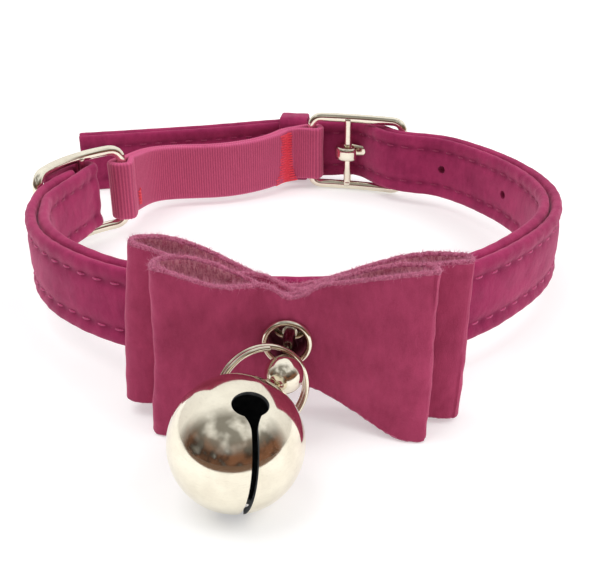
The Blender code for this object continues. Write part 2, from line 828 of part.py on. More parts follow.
def build():
    clear_scene()
    parts = new_collection("pet_bow_tie_collar")
    cutters = new_collection("cutters")
    velvet = new_material("velvet", (0.50, 0.035, 0.14), 0.85, 0.0)
    webbing = new_material("webbing", (0.42, 0.06, 0.14), 0.8, 0.0)
    suede = new_material("suede", (0.46, 0.03, 0.13), 0.9, 0.0)
    nickel = new_material("nickel", (0.80, 0.74, 0.66), 0.22, 1.0)

    # Strap
    middle = strap_middle()
    shift = (lining_thickness + seat_gap) / 2
    face_path = stand(thin(offset(middle, shift), strap_step, strap_turn))
    face = sweep("strap_face", face_path, strip_section(face_thickness, True), parts, velvet)
    inner = offset(middle, -shift)
    lining_route = np.array(loop_tab() + list(inner[120::40]) + [inner[-1]])
    lining_path = stand(thin(spline(lining_route, 3000), strap_step, strap_turn))
    lining = sweep("strap_lining", lining_path, strip_section(lining_thickness, False), parts, velvet)

    # Holes
    stud_x = stud_place * loop_half_width
    front = middle[:, 1] < 0
    stud_y = middle[int(np.argmin(np.where(front, np.abs(middle[:, 0] - stud_x), 1.0))), 1]
    holes = punch(middle, cutters)
    holes.append(rod_between("stud_hole", (stud_x, stud_y + strap_thickness, stud_height),
                             (stud_x, stud_y - strap_thickness, stud_height),
                             shank_diameter / 2 + seat_gap, cutters, 14))
    route = prong_route()
    holes.append(rod_between("prong_hole", route[-5], route[-1], prong_radius + seat_gap * 1.5, cutters, 12))
    for hole in holes:
        as_cutter(hole, cutters)
        combine(face, hole, "DIFFERENCE")
        combine(lining, hole, "DIFFERENCE")

    # Metal frames and tongue
    frame_wire("slide", slide_place, slide_heading, slide_bow, -1, parts, nickel)
    frame_wire("buckle_frame", buckle_place, buckle_heading, buckle_bow, 1, parts, nickel)
    smooth_route = at_length(route, np.linspace(0.0, lengths(route)[-1], 400))
    wire("buckle_prong", thin(smooth_route, prong_step, prong_turn), prong_radius, parts, nickel)

    # Elastic and keeper
    loop = elastic_path()
    sweep("elastic", np.column_stack([loop, hang(loop)]),
          rounded_section(elastic_thickness, elastic_width, 0.0004), parts, webbing, closed=True)
    keeper_piece(middle, parts, velvet)

    # Bow
    strap_front = stud_y - strap_thickness / 2
    back_flange = strap_front - seat_gap - base_thickness - ply_gap
    first_cloth = back_flange - eyelet_lip - ply_gap
    second_cloth = first_cloth - 2 * bow_cloth - ply_gap - seat_gap
    front_cloth = second_cloth - 2 * bow_cloth - ply_gap
    back = bow_loop("bow_back", back_half_width, back_pocket, back_swing, first_cloth,
                    (back_foot, back_top), back_tilt, parts, suede)
    ahead = bow_loop("bow_front", front_half_width, front_pocket, front_swing, second_cloth,
                     (front_foot, front_top), front_tilt, parts, suede)
    bore = rod_between("bow_hole", (stud_x, first_cloth + 2 * bow_cloth, eyelet_height),
                       (stud_x, front_cloth - 2 * bow_cloth, eyelet_height),
                       eyelet_bore / 2 + eyelet_wall + seat_gap, cutters, 20)
    as_cutter(bore, cutters)
    combine(back, bore, "DIFFERENCE")
    combine(ahead, bore, "DIFFERENCE")

    # Eyelet
    inside = eyelet_bore / 2
    outside = inside + eyelet_wall
    rim = eyelet_flange / 2
    depth = (back_flange - front_cloth) + ply_gap + eyelet_lip
    profile = [(inside + eyelet_wall, depth), (rim - 0.0003, depth - 0.0001), (rim, depth - eyelet_lip / 2),
               (rim, depth - eyelet_lip), (outside, depth - eyelet_lip), (outside, eyelet_lip),
               (rim, eyelet_lip), (rim, 0.0), (inside, 0.0), (inside, depth - eyelet_lip),
               (inside + eyelet_wall * 0.3, depth - eyelet_lip * 0.35), (inside + eyelet_wall, depth)]
    eyelet = turned("eyelet", profile, 24, parts, nickel)
    eyelet.rotation_euler = (math.radians(90), 0.0, 0.0)
    eyelet.location = (stud_x, back_flange, eyelet_height)

    # Stud
    face_front = back_flange - depth
    ball_centre = face_front - neck_length - math.sqrt(ball_diameter ** 2 - neck_diameter ** 2) / 2
    start = stud_y + strap_thickness / 2 + seat_gap + back_disc_thickness
    reach = start - ball_centre
    rows = []
    ball = ball_diameter / 2
    meet = math.asin(neck_diameter / ball_diameter)
    for step in range(0, 11):
        angle = step * (math.pi - meet) / 10
        rows.append((ball * math.sin(angle), reach + ball * math.cos(angle)))
    base_at = start - (strap_front - seat_gap)
    neck = neck_diameter / 2
    shank = shank_diameter / 2
    base = base_diameter / 2
    disc = back_disc_diameter / 2
    rows += [(neck, base_at + base_thickness), (base, base_at + base_thickness), (base, base_at),
             (shank, base_at), (shank, back_disc_thickness), (disc, back_disc_thickness),
             (disc, back_disc_thickness * 0.4), (disc * 0.8, 0.0), (0.0, 0.0)]
    stud = turned("stud", rows, 18, parts, nickel)
    stud.rotation_euler = (math.radians(90), 0.0, 0.0)
    stud.location = (stud_x, start, stud_height)

    # Split ring, hung on the stud's neck
    neck_at = Vector((stud_x, face_front - neck_length + ring_wire * 2, stud_height))
    split_ring(neck_at, parts, nickel)

    # Bell, on the floor with the ring in its loop
    spin = Matrix.Rotation(bell_yaw, 3, "Z") @ Matrix.Rotation(-bell_pitch, 3, "X")
    spin = spin @ Matrix.Rotation(bell_roll, 3, "Y")
    arm = spin @ Vector((0.0, bell_radius + bell_loop_radius * bell_loop_seat, 0.0))
    centre, level, up, _ = ring_frame(neck_at)
    rise = (bell_radius + arm.z - centre.z) / (ring_radius * up.z)
    seat = centre + ring_radius * (rise * up - math.sqrt(1 - rise ** 2) * level)
    bell_at = Vector((seat.x - arm.x, seat.y - arm.y, bell_radius))
    facing = Matrix.Translation(bell_at) @ spin.to_4x4()
    bell_shell(facing, parts, cutters, nickel)

    # Loose pellet inside the bell
    work = bmesh.new()
    bmesh.ops.create_uvsphere(work, u_segments=14, v_segments=8, radius=pellet_radius)
    mesh = bpy.data.meshes.new("bell_pellet")
    work.to_mesh(mesh)
    work.free()
    pellet = add_object("bell_pellet", mesh, parts, nickel)
    pellet.location = (bell_at.x, bell_at.y, bell_wall + seat_gap + pellet_radius)

    # Bring the footprint's middle to the origin
    corner = Vector(origin_of(parts))
    for piece in list(parts.objects) + list(cutters.objects):
        piece.location = piece.location - corner


build()
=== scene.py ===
# %% [markdown]
# # A velvet collar with a bow tie and a bell
#
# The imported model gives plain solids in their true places. This lesson dresses them:
# padded velvet with its stitching, ribbed elastic, brushed cloth with loose fibres at
# its cut edges, and polished nickel. Everything is in metres, with +Z up and the bow
# facing -Y.

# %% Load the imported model
import math

import bpy
import numpy as np
from mathutils import Matrix, Vector


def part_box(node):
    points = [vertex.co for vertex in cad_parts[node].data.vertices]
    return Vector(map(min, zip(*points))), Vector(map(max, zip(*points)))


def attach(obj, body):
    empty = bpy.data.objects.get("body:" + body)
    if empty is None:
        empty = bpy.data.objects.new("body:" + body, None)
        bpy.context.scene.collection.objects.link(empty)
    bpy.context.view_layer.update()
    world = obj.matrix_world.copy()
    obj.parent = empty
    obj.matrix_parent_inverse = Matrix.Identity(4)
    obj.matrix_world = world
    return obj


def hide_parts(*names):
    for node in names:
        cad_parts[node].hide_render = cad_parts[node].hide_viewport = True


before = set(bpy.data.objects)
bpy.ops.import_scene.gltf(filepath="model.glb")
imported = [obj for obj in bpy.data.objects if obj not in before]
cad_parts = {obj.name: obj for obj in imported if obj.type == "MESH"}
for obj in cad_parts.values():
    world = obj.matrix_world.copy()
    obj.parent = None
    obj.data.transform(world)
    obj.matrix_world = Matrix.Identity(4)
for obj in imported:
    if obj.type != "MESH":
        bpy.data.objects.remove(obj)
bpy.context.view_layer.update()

print("nodes:", sorted(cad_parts))

# %% [markdown]
# ## Camera first
#
# A camera is a point, a direction and a lens. The photograph looks down on the bow
# from a hand's length away, so near things loom a little. The lens is set as a focal
# length over a 36 mm sensor, and the place is given in the collar's own frame.

# %% Camera
camera_place = (0.01258, -0.14098, 0.07179)
camera_pitch = math.radians(26.71)
camera_heading = math.radians(3.5)
camera_roll = math.radians(0.19)
camera_lens = 54.0

camera = bpy.data.objects.new("camera", bpy.data.cameras.new("camera"))
bpy.context.scene.collection.objects.link(camera)
camera.data.lens = camera_lens
camera.data.clip_start = 0.01
turn = Matrix.Rotation(camera_heading, 4, "Z") @ Matrix.Rotation(math.pi / 2 - camera_pitch, 4, "X")
camera.matrix_world = Matrix.Translation(camera_place) @ turn @ Matrix.Rotation(-camera_roll, 4, "Z")
bpy.context.scene.camera = camera
print("camera at", [round(value, 4) for value in camera_place])

# %% [markdown]
# ## Meshes from arrays
#
# Nearly every surface below is a grid: rows of points, each row a ring of the same
# length. One function joins neighbouring points into quads, and a second one puts the
# arrays into a Blender mesh in one go, which is far quicker than a loop.


# %% Put arrays into a mesh
def quads(rows, columns, close_rows=False):
    """Quads of a grid: corner (i, j) is joined to (i+1, j), (i+1, j+1) and (i, j+1). Columns wrap round, and
    rows do when they are closed."""
    row, column = np.meshgrid(np.arange(rows - (not close_rows)), np.arange(columns), indexing="ij")
    down = np.stack([row, row + 1, row + 1, row], -1).reshape(-1, 4)
    across = np.stack([column, column, column + 1, column + 1], -1).reshape(-1, 4)
    return (down % rows) * columns + across % columns


def new_piece(name, points, faces, materials, slot, traits=None, zones=None):
    """A smooth mesh object at the origin. faces is a list of index arrays, one for each corner count;
    traits are named values per point; zones gives each face the number of its material."""
    mesh = bpy.data.meshes.new(name)
    counts = np.concatenate([np.full(len(block), block.shape[1]) for block in faces])
    corners = np.concatenate([block.ravel() for block in faces])
    mesh.vertices.add(len(points))
    mesh.vertices.foreach_set("co", np.asarray(points, np.float32).ravel())
    mesh.loops.add(len(corners))
    mesh.loops.foreach_set("vertex_index", corners.astype(np.int32))
    mesh.polygons.add(len(counts))
    mesh.polygons.foreach_set("loop_start", (np.cumsum(counts) - counts).astype(np.int32))
    for material in materials:
        mesh.materials.append(material)
    if zones is not None:
        mesh.polygons.foreach_set("material_index", zones.astype(np.int32))
    mesh.update(calc_edges=True)
    for trait, values in (traits or {}).items():
        field = mesh.attributes.new(trait, "FLOAT", "POINT")
        field.data.foreach_set("value", np.asarray(values, np.float32).ravel())
    mesh.shade_smooth()
    piece = bpy.data.objects.new(name, mesh)
    bpy.context.scene.collection.objects.link(piece)
    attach(piece, "root")
    print(name, len(points), "points")
    return piece


def join_parts(parts):
    """Several (points, faces) pairs as one: each part's faces are moved up by the points before it."""
    points, faces, before = [], [], 0
    for part_points, part_faces in parts:
        points.append(part_points)
        faces += [block + before for block in part_faces]
        before += len(part_points)
    return np.concatenate(points), faces


# %% [markdown]
# ## Paths, sections and sweeps
#
# The strap, the elastic and every wire are a section carried along a path. The path
# is a smooth curve through a few chosen places; at each of its points a frame of two
# directions holds the section, and one array expression makes all the rings.


# %% Curves through chosen points
def lengths(path):
    """Distance along a path at each point: the running sum of its steps."""
    return np.concatenate([[0.0], np.cumsum(np.linalg.norm(np.diff(path, axis=0), axis=1))])


def at_length(path, distance):
    """Points of a path at given distances along it, by straight interpolation between its points."""
    run = lengths(path)
    return np.stack([np.interp(distance, run, path[:, axis]) for axis in range(path.shape[1])], -1)


def evenly(path, count):
    """The same path with its points an equal distance apart."""
    return at_length(path, np.linspace(0.0, lengths(path)[-1], count))


def natural_spline(points, count, closed=False):
    """A cubic through the points: its second derivatives solve the usual three-term equations, with knots
    spaced by the square root of each chord. A closed curve is the middle lap of three."""
    points = np.asarray(points, float)
    laps = len(points)
    if closed:
        points = np.vstack([points, points, points, points[:1]])
    chord = np.linalg.norm(np.diff(points, axis=0), axis=1) ** 0.5
    knots = np.concatenate([[0.0], np.cumsum(chord)])
    size = len(knots)
    inner = np.arange(1, size - 1)
    matrix = np.eye(size)
    matrix[inner, inner - 1] = chord[:-1]
    matrix[inner, inner] = 2 * (chord[:-1] + chord[1:])
    matrix[inner, inner + 1] = chord[1:]
    slope = np.diff(points, axis=0) / chord[:, None]
    right = np.zeros_like(points)
    right[1:-1] = 6 * np.diff(slope, axis=0)
    bend = np.linalg.solve(matrix, right)
    low, high = (knots[laps], knots[2 * laps]) if closed else (0.0, knots[-1])
    value = np.linspace(low, high, count + closed)[:count]
    span = np.clip(np.searchsorted(knots, value, side="right") - 1, 0, size - 2)
    step = chord[span][:, None]
    near = (knots[span + 1] - value)[:, None] / step
    far = 1.0 - near
    curve = near * points[span] + far * points[span + 1]
    return curve + ((near ** 3 - near) * bend[span] + (far ** 3 - far) * bend[span + 1]) * step ** 2 / 6


def unit(vectors):
    """Each vector divided by its length."""
    return vectors / np.linalg.norm(vectors, axis=-1, keepdims=True)


def directions(path, closed=False):
    """Unit directions along a path: the difference of the points on either side."""
    if closed:
        return unit(np.roll(path, -1, axis=0) - np.roll(path, 1, axis=0))
    return unit(np.gradient(path, axis=0))


def rightward(path, closed=False):
    """Level unit vectors to the right of a path's direction: (x, y) turned to (y, -x)."""
    ahead = directions(path[:, :2], closed)
    return np.stack([ahead[:, 1], -ahead[:, 0]], -1)


def lapped(path):
    """A closed path with its first point once more at its end."""
    return np.vstack([path, path[:1]])


def evenly_round(path, count):
    """A closed path with its points an equal distance apart."""
    return evenly(lapped(path), count + 1)[:-1]


def all_along(path, vector):
    """The same vector for every point of a path."""
    return np.tile(vector, (len(path), 1))


upright = np.array([0.0, 0.0, 1.0])


# %% Carry a section along a path
def swept(path, sections, side, up, closed=False):
    """Ring i is path[i] + side[i] * section x + up[i] * section y, and an open sweep has a fan over each end.
    sections is one outline (n, 2) or one for each point (m, n, 2). Gives points and faces."""
    sections = np.broadcast_to(sections, (len(path),) + sections.shape[-2:])
    rings = path[:, None] + side[:, None] * sections[..., :1] + up[:, None] * sections[..., 1:]
    count, around = rings.shape[:2]
    points = rings.reshape(-1, 3)
    faces = [quads(count, around, close_rows=closed)]
    if not closed:
        first, last = len(points), len(points) + 1
        points = np.vstack([points, rings[0].mean(0), rings[-1].mean(0)])
        here = np.arange(around)
        after = (here + 1) % around
        end = (count - 1) * around
        faces.append(np.stack([np.full(around, first), here, after], -1))
        faces.append(np.stack([np.full(around, last), end + after, end + here], -1))
    return points, faces


def outward_sign(points, faces):
    """Six times the signed volume of the mesh: the sum over its triangles of a . (b x c)."""
    total = 0.0
    for block in faces:
        for corner in range(1, block.shape[1] - 1):
            a, b, c = points[block[:, 0]], points[block[:, corner]], points[block[:, corner + 1]]
            total += np.einsum("ij,ij->i", a, np.cross(b, c)).sum()
    return total


def facing_out(part):
    """The same part with its faces turned, if they point inwards."""
    points, faces = part
    if outward_sign(points, faces) < 0:
        faces = [block[:, ::-1] for block in faces]
    return points, faces


def round_section(radius, sides):
    """A circle: (radius cos a, radius sin a)."""
    angle = np.arange(sides) * 2 * math.pi / sides
    return radius * np.stack([np.cos(angle), np.sin(angle)], -1)


def tube(path, radius, sides, closed=False, end_round=0.0):
    """A round wire. Each side vector is the part of the one before that is square to the new direction;
    end_round shrinks the last rings like a dome, by sqrt(1 - t^2)."""
    nearly_upright, least_end = 1e-3, 0.0025
    ahead = directions(path, closed)
    side = np.zeros_like(path)
    last = np.cross(ahead[0], upright)
    if np.linalg.norm(last) < nearly_upright:
        last = np.cross(ahead[0], (0.0, 1.0, 0.0))
    for index, way in enumerate(ahead):
        last = last - way * (last @ way)
        last = last / np.linalg.norm(last)
        side[index] = last
    up = np.cross(ahead, side)
    size = np.ones(len(path))
    if end_round and not closed:
        run = lengths(path)
        near = np.minimum(run, run[-1] - run) / end_round
        size = np.sqrt(np.clip(1 - np.clip(1 - near, 0, 1) ** 2, least_end, 1))
    sections = round_section(radius, sides)[None] * size[:, None, None]
    return facing_out(swept(path, sections, side, up, closed))


# %% [markdown]
# ## The collar's own sizes
#
# These are the real sizes that the solids were made from. The scene can't read that
# source, so the same named values are written here, and the solids' boxes tell how
# far the drawing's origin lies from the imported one.

# %% Sizes
seat_gap = 0.0003
ply_gap = 0.00015
strap_width = 0.0127
ply = 0.00175
strap_thickness = 2 * ply + seat_gap
stitch_inset = 0.0026
punch_diameter = 0.0017
punch_spacing = 0.020
tail_length = 0.0486
tail_sink = 2.2
tab_length = 0.0092
loop_half_width = 0.0455
loop_half_depth = 0.0445
wire_radius = 0.00095
frame_length = 0.0204
frame_corner = 0.0021
frame_side_gap = 0.0004
buckle_bow = 0.0007
slide_bow = 0.0026
bar_reach = 0.10 * frame_length
prong_radius = 0.00085
frame_half_height = strap_width / 2 + frame_side_gap + 2 * wire_radius
strap_rest = frame_half_height - strap_width / 2
elastic_width = 0.0117
elastic_thickness = 0.0012
elastic_sag = 0.0017
elastic_ease = 1.9
keeper_length = 0.0062
keeper_thickness = 0.0009
keeper_rise = 0.0003
keeper_reach = 0.0052
elastic_dip = 0.0018
eyelet_height = 0.0128
eyelet_bore = 0.0050
neck_diameter = 0.0017
back_disc_thickness = 0.0008
stud_height = eyelet_height - (eyelet_bore - neck_diameter) / 2 + seat_gap
front_lift = stud_height - strap_width / 2
pass_offset = wire_radius + seat_gap + strap_thickness / 2
bar_offset = pass_offset + 2 * prong_radius + seat_gap + buckle_bow / 2
stud_across = -0.013 * loop_half_width

slide_place, slide_heading = (-0.955, 0.081), math.radians(237.6)
buckle_place, buckle_heading = (0.180, 0.865), math.radians(169)

# %% Routes, as shares of the loop's half sizes
strap_route = (
    (-1.009, -0.274), (-0.976, -0.427), (-0.895, -0.604), (-0.747, -0.773),
    (-0.516, -0.921), (-0.215, -0.995), (0.065, -0.998), (0.330, -0.930),
    (0.555, -0.785), (0.725, -0.590), (0.855, -0.370), (0.915, -0.125),
    (0.893, 0.120), (0.815, 0.343), (0.695, 0.543), (0.545, 0.687),
)
tail_route = ((-0.480, 0.985), (-0.780, 0.925), (-1.080, 0.855), (-1.400, 0.775))
elastic_route = (
    (-0.811, 0.438), (-0.756, 0.562), (-0.626, 0.629), (-0.484, 0.661),
    (-0.334, 0.728), (-0.215, 0.827),
)


def in_plan(share):
    """A plan point from its shares of the loop's half sizes."""
    return np.array([share[0] * loop_half_width, share[1] * loop_half_depth])


def local(place, heading, along, outward):
    """A plan point: place + along * (cos h, sin h) + outward * (sin h, -cos h)."""
    ahead = np.array([math.cos(heading), math.sin(heading)])
    return in_plan(place) + along * ahead + outward * np.array([ahead[1], -ahead[0]])


def on_slide(along, outward):
    """A place measured from the slide's bowed wire, which stands out by bow * (1 - (2 along / length)^2)."""
    bowed = slide_bow * (1 - (2 * along / frame_length) ** 2)
    return local(slide_place, slide_heading, along, outward + bowed)


def lift_at(along):
    """Height of the strap's lower edge, which rises evenly from back to front."""
    share = np.clip((loop_half_depth - along) / (2 * loop_half_depth), 0.0, 1.0)
    return strap_rest + (front_lift - strap_rest) * share


def frame_middle(place):
    """Height of a wire frame's middle, which rises with the strap's lower edge."""
    return frame_half_height + lift_at(in_plan(place)[1]) - strap_rest


half_frame = frame_length / 2
slide_bar = local(slide_place, slide_heading, -half_frame, 0.0)
buckle_bar = local(buckle_place, buckle_heading, half_frame, 0.0)
slide_exit = 0.0028 - bar_reach


# %% The strap's middle line
def strap_middle():
    """From the slide round the front to the buckle, through its frame and on to the free tip."""
    over = wire_radius + elastic_thickness + 2 * seat_gap + strap_thickness / 2
    steep = math.asin((pass_offset + bar_offset) / (bar_reach + half_frame))
    start = [on_slide(along, closer - pass_offset)
             for along, closer in ((slide_exit, 0.0006), (half_frame * 0.45, 0.0002), (half_frame, 0.0))]
    through = [local(buckle_place, buckle_heading, along, outward) for along, outward in (
        (pass_offset * 0.2 - half_frame, -pass_offset),
        (bar_reach - bar_offset * math.sin(steep), bar_offset * math.cos(steep)),
        (bar_reach, bar_offset),
        (half_frame - 0.0010, over),
        (half_frame + keeper_reach, over + keeper_rise))]
    route = start + [in_plan(row) for row in strap_route] + through + [in_plan(row) for row in tail_route]
    line = natural_spline(route, 3000)
    run = lengths(line)
    near = int(np.argmin(np.linalg.norm(line - through[-1], axis=1)))
    return at_length(line, np.linspace(0.0, run[near] + tail_length, 2400)), through[-1]


def stand(path):
    """A plan path raised to the middle of the strap's width; past the buckle's bar it sinks to the floor."""
    run = lengths(path)
    free_end = tail_length + keeper_reach + half_frame - bar_reach
    held = np.clip((run[-1] - run) / free_end, 0.0, 1.0) ** tail_sink
    return np.column_stack([path, lift_at(path[:, 1]) * held + strap_width / 2])


def hang(loop):
    """Height of the elastic's middle: it sags between its two bars as 4 u (1 - u)."""
    near = np.linalg.norm(loop - slide_bar, axis=1)
    share = near / (near + np.linalg.norm(loop - buckle_bar, axis=1))
    return lift_at(loop[:, 1]) + strap_width / 2 - elastic_sag * 4 * share * (1 - share)


middle, keeper_at = strap_middle()
stud_middle = middle[np.argmin(np.where(middle[:, 1] < 0, np.abs(middle[:, 0] - stud_across), 1.0)), 1]
stud_low, stud_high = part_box("stud")
drawing_origin = np.array([
    (stud_low.x + stud_high.x) / 2 - stud_across,
    stud_high.y - (stud_middle + strap_thickness / 2 + seat_gap + back_disc_thickness),
    (stud_low.z + stud_high.z) / 2 - stud_height])
print("drawing origin lies at", drawing_origin.round(5))
print("the strap is", round(lengths(middle)[-1], 4), "long")


def placed(part):
    """A part moved from the drawing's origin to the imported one."""
    points, faces = part
    return points + drawing_origin, faces


# %% [markdown]
# ## Writing shader maths as plain sums
#
# A material is a graph of nodes. To keep the graph readable, a small class wraps one
# socket, so that `1 - mask * 0.4` adds the Math nodes by itself, and one method makes
# every other node from its type, its settings and its inputs.


# %% Shader helpers
class Field:
    """One output socket of a node graph. A sum or product with it adds a Math node and gives its output."""

    def __init__(self, finish, socket):
        self.finish = finish
        self.socket = socket

    def maths(self, operation, first, second):
        """A Math node with two inputs."""
        return self.finish.node("ShaderNodeMath", {"operation": operation}, {0: first, 1: second})

    def __add__(self, other):
        return self.maths("ADD", self, other)

    def __sub__(self, other):
        return self.maths("SUBTRACT", self, other)

    def __mul__(self, other):
        return self.maths("MULTIPLY", self, other)

    def __radd__(self, other):
        return self.maths("ADD", other, self)

    def __rsub__(self, other):
        return self.maths("SUBTRACT", other, self)

    def __rmul__(self, other):
        return self.maths("MULTIPLY", other, self)

    def sharpen(self, low, high):
        """(value - low) / (high - low), held between 0 and 1."""
        inputs = {0: self, 1: low, 2: high, 3: 0.0, 4: 1.0}
        return self.finish.node("ShaderNodeMapRange", {"clamp": True}, inputs)


class Finish:
    """A material, or the world, as it is being written."""

    def __init__(self, owner, constants=None):
        self.owner = owner
        owner.use_nodes = True
        self.tree = owner.node_tree
        self.shader = self.tree.nodes.get("Principled BSDF")
        for name, value in (constants or {}).items():
            self.shader.inputs[name].default_value = value

    def node(self, kind, settings=None, inputs=None, output=0):
        """A node of this type: settings first, then its inputs as values or fields. Gives one output."""
        made = self.tree.nodes.new(kind)
        for name, value in (settings or {}).items():
            setattr(made, name, value)
        for key, value in (inputs or {}).items():
            self.connect(value, made.inputs[key])
        return Field(self, made.outputs[output])

    def connect(self, value, socket):
        """Link a field to a socket, or set the socket to a plain value."""
        if isinstance(value, Field):
            self.tree.links.new(value.socket, socket)
        else:
            socket.default_value = value

    def noise(self, scale, detail=2.0, rough=0.55, stretch=None):
        """Noise with grains about 1/scale metres wide; stretch multiplies the three coordinates first."""
        where = self.node("ShaderNodeTexCoord", output="Object")
        if stretch:
            where = self.node("ShaderNodeMapping", {}, {"Vector": where, "Scale": stretch})
        return self.node("ShaderNodeTexNoise", {}, {
            "Vector": where, "Scale": scale, "Detail": detail, "Roughness": rough})

    def trait(self, name):
        """A value that the mesh carries at each point."""
        return self.node("ShaderNodeAttribute", {"attribute_name": name}, output="Fac")

    def blend(self, factor, first, second):
        """Colour first where factor is 0, second where it is 1."""
        return self.node("ShaderNodeMix", {"data_type": "RGBA"}, {0: factor, 6: first, 7: second}, output=2)

    def relief(self, height, distance, strength=1.0):
        """Bump from a height field; distance is the metres that height 1 stands for."""
        self.paint("Normal", self.node("ShaderNodeBump", {}, {
            "Height": height, "Distance": distance, "Strength": strength}))

    def paint(self, name, value):
        """Give one of the shader's sockets a field or a plain value."""
        self.connect(value, self.shader.inputs[name])


def tone(red, green, blue):
    """A colour from its screen values of 0 to 255, made linear by the sRGB curve."""
    share = np.array([red, green, blue]) / 255.0
    linear = np.where(share <= 0.04045, share / 12.92, ((share + 0.055) / 1.055) ** 2.4)
    return (*[float(value) for value in linear], 1.0)


# %% [markdown]
# ## Velvet
#
# Velvet is a dense short pile. Its colour changes with the lie of the pile, in soft
# patches a few millimetres wide, and it glows where it is seen at a flat angle, which
# is what the sheen layer of the shader is for. The fine grain is noise a seventh of a
# millimetre across, both in the colour and as bump. A value carried by the mesh says
# how deep a point lies in a seam, and paints shade into the colour there.


# %% Velvet, its cut edge and its reverse
def cloth(name, roughness, specular, sheen, sheen_roughness, sheen_tone=(255, 255, 255)):
    """A new dull finish with a sheen layer, before its colour and relief are painted."""
    return Finish(bpy.data.materials.new(name), {
        "Roughness": roughness, "Specular IOR Level": specular, "Sheen Weight": sheen,
        "Sheen Roughness": sheen_roughness, "Sheen Tint": tone(*sheen_tone)})


def pile_finish(name, deep, light, sheen, grain):
    """Brushed pile: patches, brush marks and fine grain mix two tones, and painted shade darkens them in
    stitch grooves and needle holes.
    """
    finish = cloth(name, 0.95, 0.15, sheen, 0.38, (255, 176, 205))
    patches = finish.noise(170.0, 3.0, 0.6).sharpen(0.30, 0.72)
    brushed = finish.noise(900.0, 3.0, 0.65, stretch=(1.0, 1.0, 0.45)).sharpen(0.25, 0.75)
    fine = finish.noise(grain, 2.0, 0.7)
    lie = patches * 0.45 + brushed * 0.30 + fine.sharpen(0.3, 0.7) * 0.25
    colour = finish.blend(lie, deep, light)
    # Painted shade: the colour goes towards dark plum in the stitch grooves and needle holes.
    seam = finish.trait("seam")
    colour = finish.blend(seam * 0.75, colour, tone(96, 20, 54))
    finish.paint("Base Color", colour)
    finish.paint("Roughness", 0.98 - lie * 0.14)
    finish.relief(fine * 0.6 + brushed * 0.4, 0.00010, 0.85)
    return finish.owner


velvet = pile_finish("velvet", tone(122, 32, 70), tone(180, 58, 106), 0.50, 7000.0)
suede = pile_finish("suede", tone(144, 50, 80), tone(192, 75, 115), 0.40, 8000.0)


def reverse_finish():
    """The bow's inner side: an unbrushed, paler knit, with pale specks of loose fibre."""
    finish = cloth("bow_reverse", 0.97, 0.1, 0.25, 0.5, (240, 190, 210))
    strands = finish.noise(2600.0, 4.0, 0.75, stretch=(1.0, 1.0, 0.3)).sharpen(0.42, 0.66)
    specks = finish.noise(6000.0, 2.0, 0.7).sharpen(0.52, 0.70)
    colour = finish.blend(strands, tone(198, 104, 130), tone(246, 172, 190))
    colour = finish.blend(specks * 0.6, colour, tone(250, 190, 206))
    finish.paint("Base Color", colour)
    finish.relief(strands * 0.6 + specks * 0.4, 0.00016)
    return finish.owner


def cut_finish():
    """The cut edge: fibres end on, so a paler and rougher pink."""
    finish = cloth("bow_cut_edge", 0.97, 0.1, 0.5, 0.45, (255, 200, 220))
    tufts = finish.noise(3200.0, 4.0, 0.75).sharpen(0.36, 0.66)
    finish.paint("Base Color", finish.blend(tufts, tone(160, 56, 94), tone(222, 126, 160)))
    finish.relief(tufts, 0.00014)
    return finish.owner


reverse = reverse_finish()
cut_edge = cut_finish()


# %% Elastic, thread and fibre
def elastic_finish():
    """Ribbed elastic: the mesh says how high a point lies on its rib, and how near the paler selvedge.
    Painted shade darkens the grooves between the ribs.
    """
    finish = cloth("ribbed_elastic", 0.72, 0.3, 0.35, 0.35, (255, 190, 212))
    rib = finish.trait("rib")
    yarn = finish.noise(5200.0, 3.0, 0.7, stretch=(1.0, 1.0, 0.5)).sharpen(0.28, 0.72)
    # Painted shade: darker in the grooves between ribs and lighter on their crests, mixed with the yarn's own
    # tone.
    rib_shade_and_yarn = rib * 0.6 + yarn * 0.4
    colour = finish.blend(rib_shade_and_yarn, tone(152, 54, 88), tone(208, 90, 128))
    colour = finish.blend(finish.trait("selvedge") * 0.6, colour, tone(226, 104, 152))
    finish.paint("Base Color", colour)
    finish.paint("Roughness", 0.8 - rib * 0.16)
    finish.relief(yarn, 0.00006)
    return finish.owner


def thread_finish(name, deep, light):
    """Twisted thread: fine noise in two tones stands for its plies, under a soft gloss."""
    finish = cloth(name, 0.55, 0.4, 0.3, 0.3)
    plies = finish.noise(4200.0, 2.0, 0.6).sharpen(0.3, 0.7)
    finish.paint("Base Color", finish.blend(plies, deep, light))
    finish.relief(plies, 0.00005)
    return finish.owner


elastic_material = elastic_finish()
seam_thread = thread_finish("seam_thread", tone(172, 50, 104), tone(216, 88, 142))
# Painted shade: the lining's stitches are the face's thread, made darker for the collar's shaded inner side.
shaded_lining_thread = thread_finish("lining_thread_in_shade", tone(138, 36, 78), tone(168, 52, 100))
tack_thread = thread_finish("tack_thread", tone(214, 34, 58), tone(248, 84, 104))
fibre_material = thread_finish("loose_fibre", tone(196, 96, 140), tone(238, 168, 196))

# %% [markdown]
# ## Nickel
#
# The metal parts are thin polished nickel plate, a little warm. A mirror shows its
# surroundings more than itself, so most of the look comes from the room, further down.
# The plate itself varies only a little, in tone and gloss: a haze, and faint rub marks.


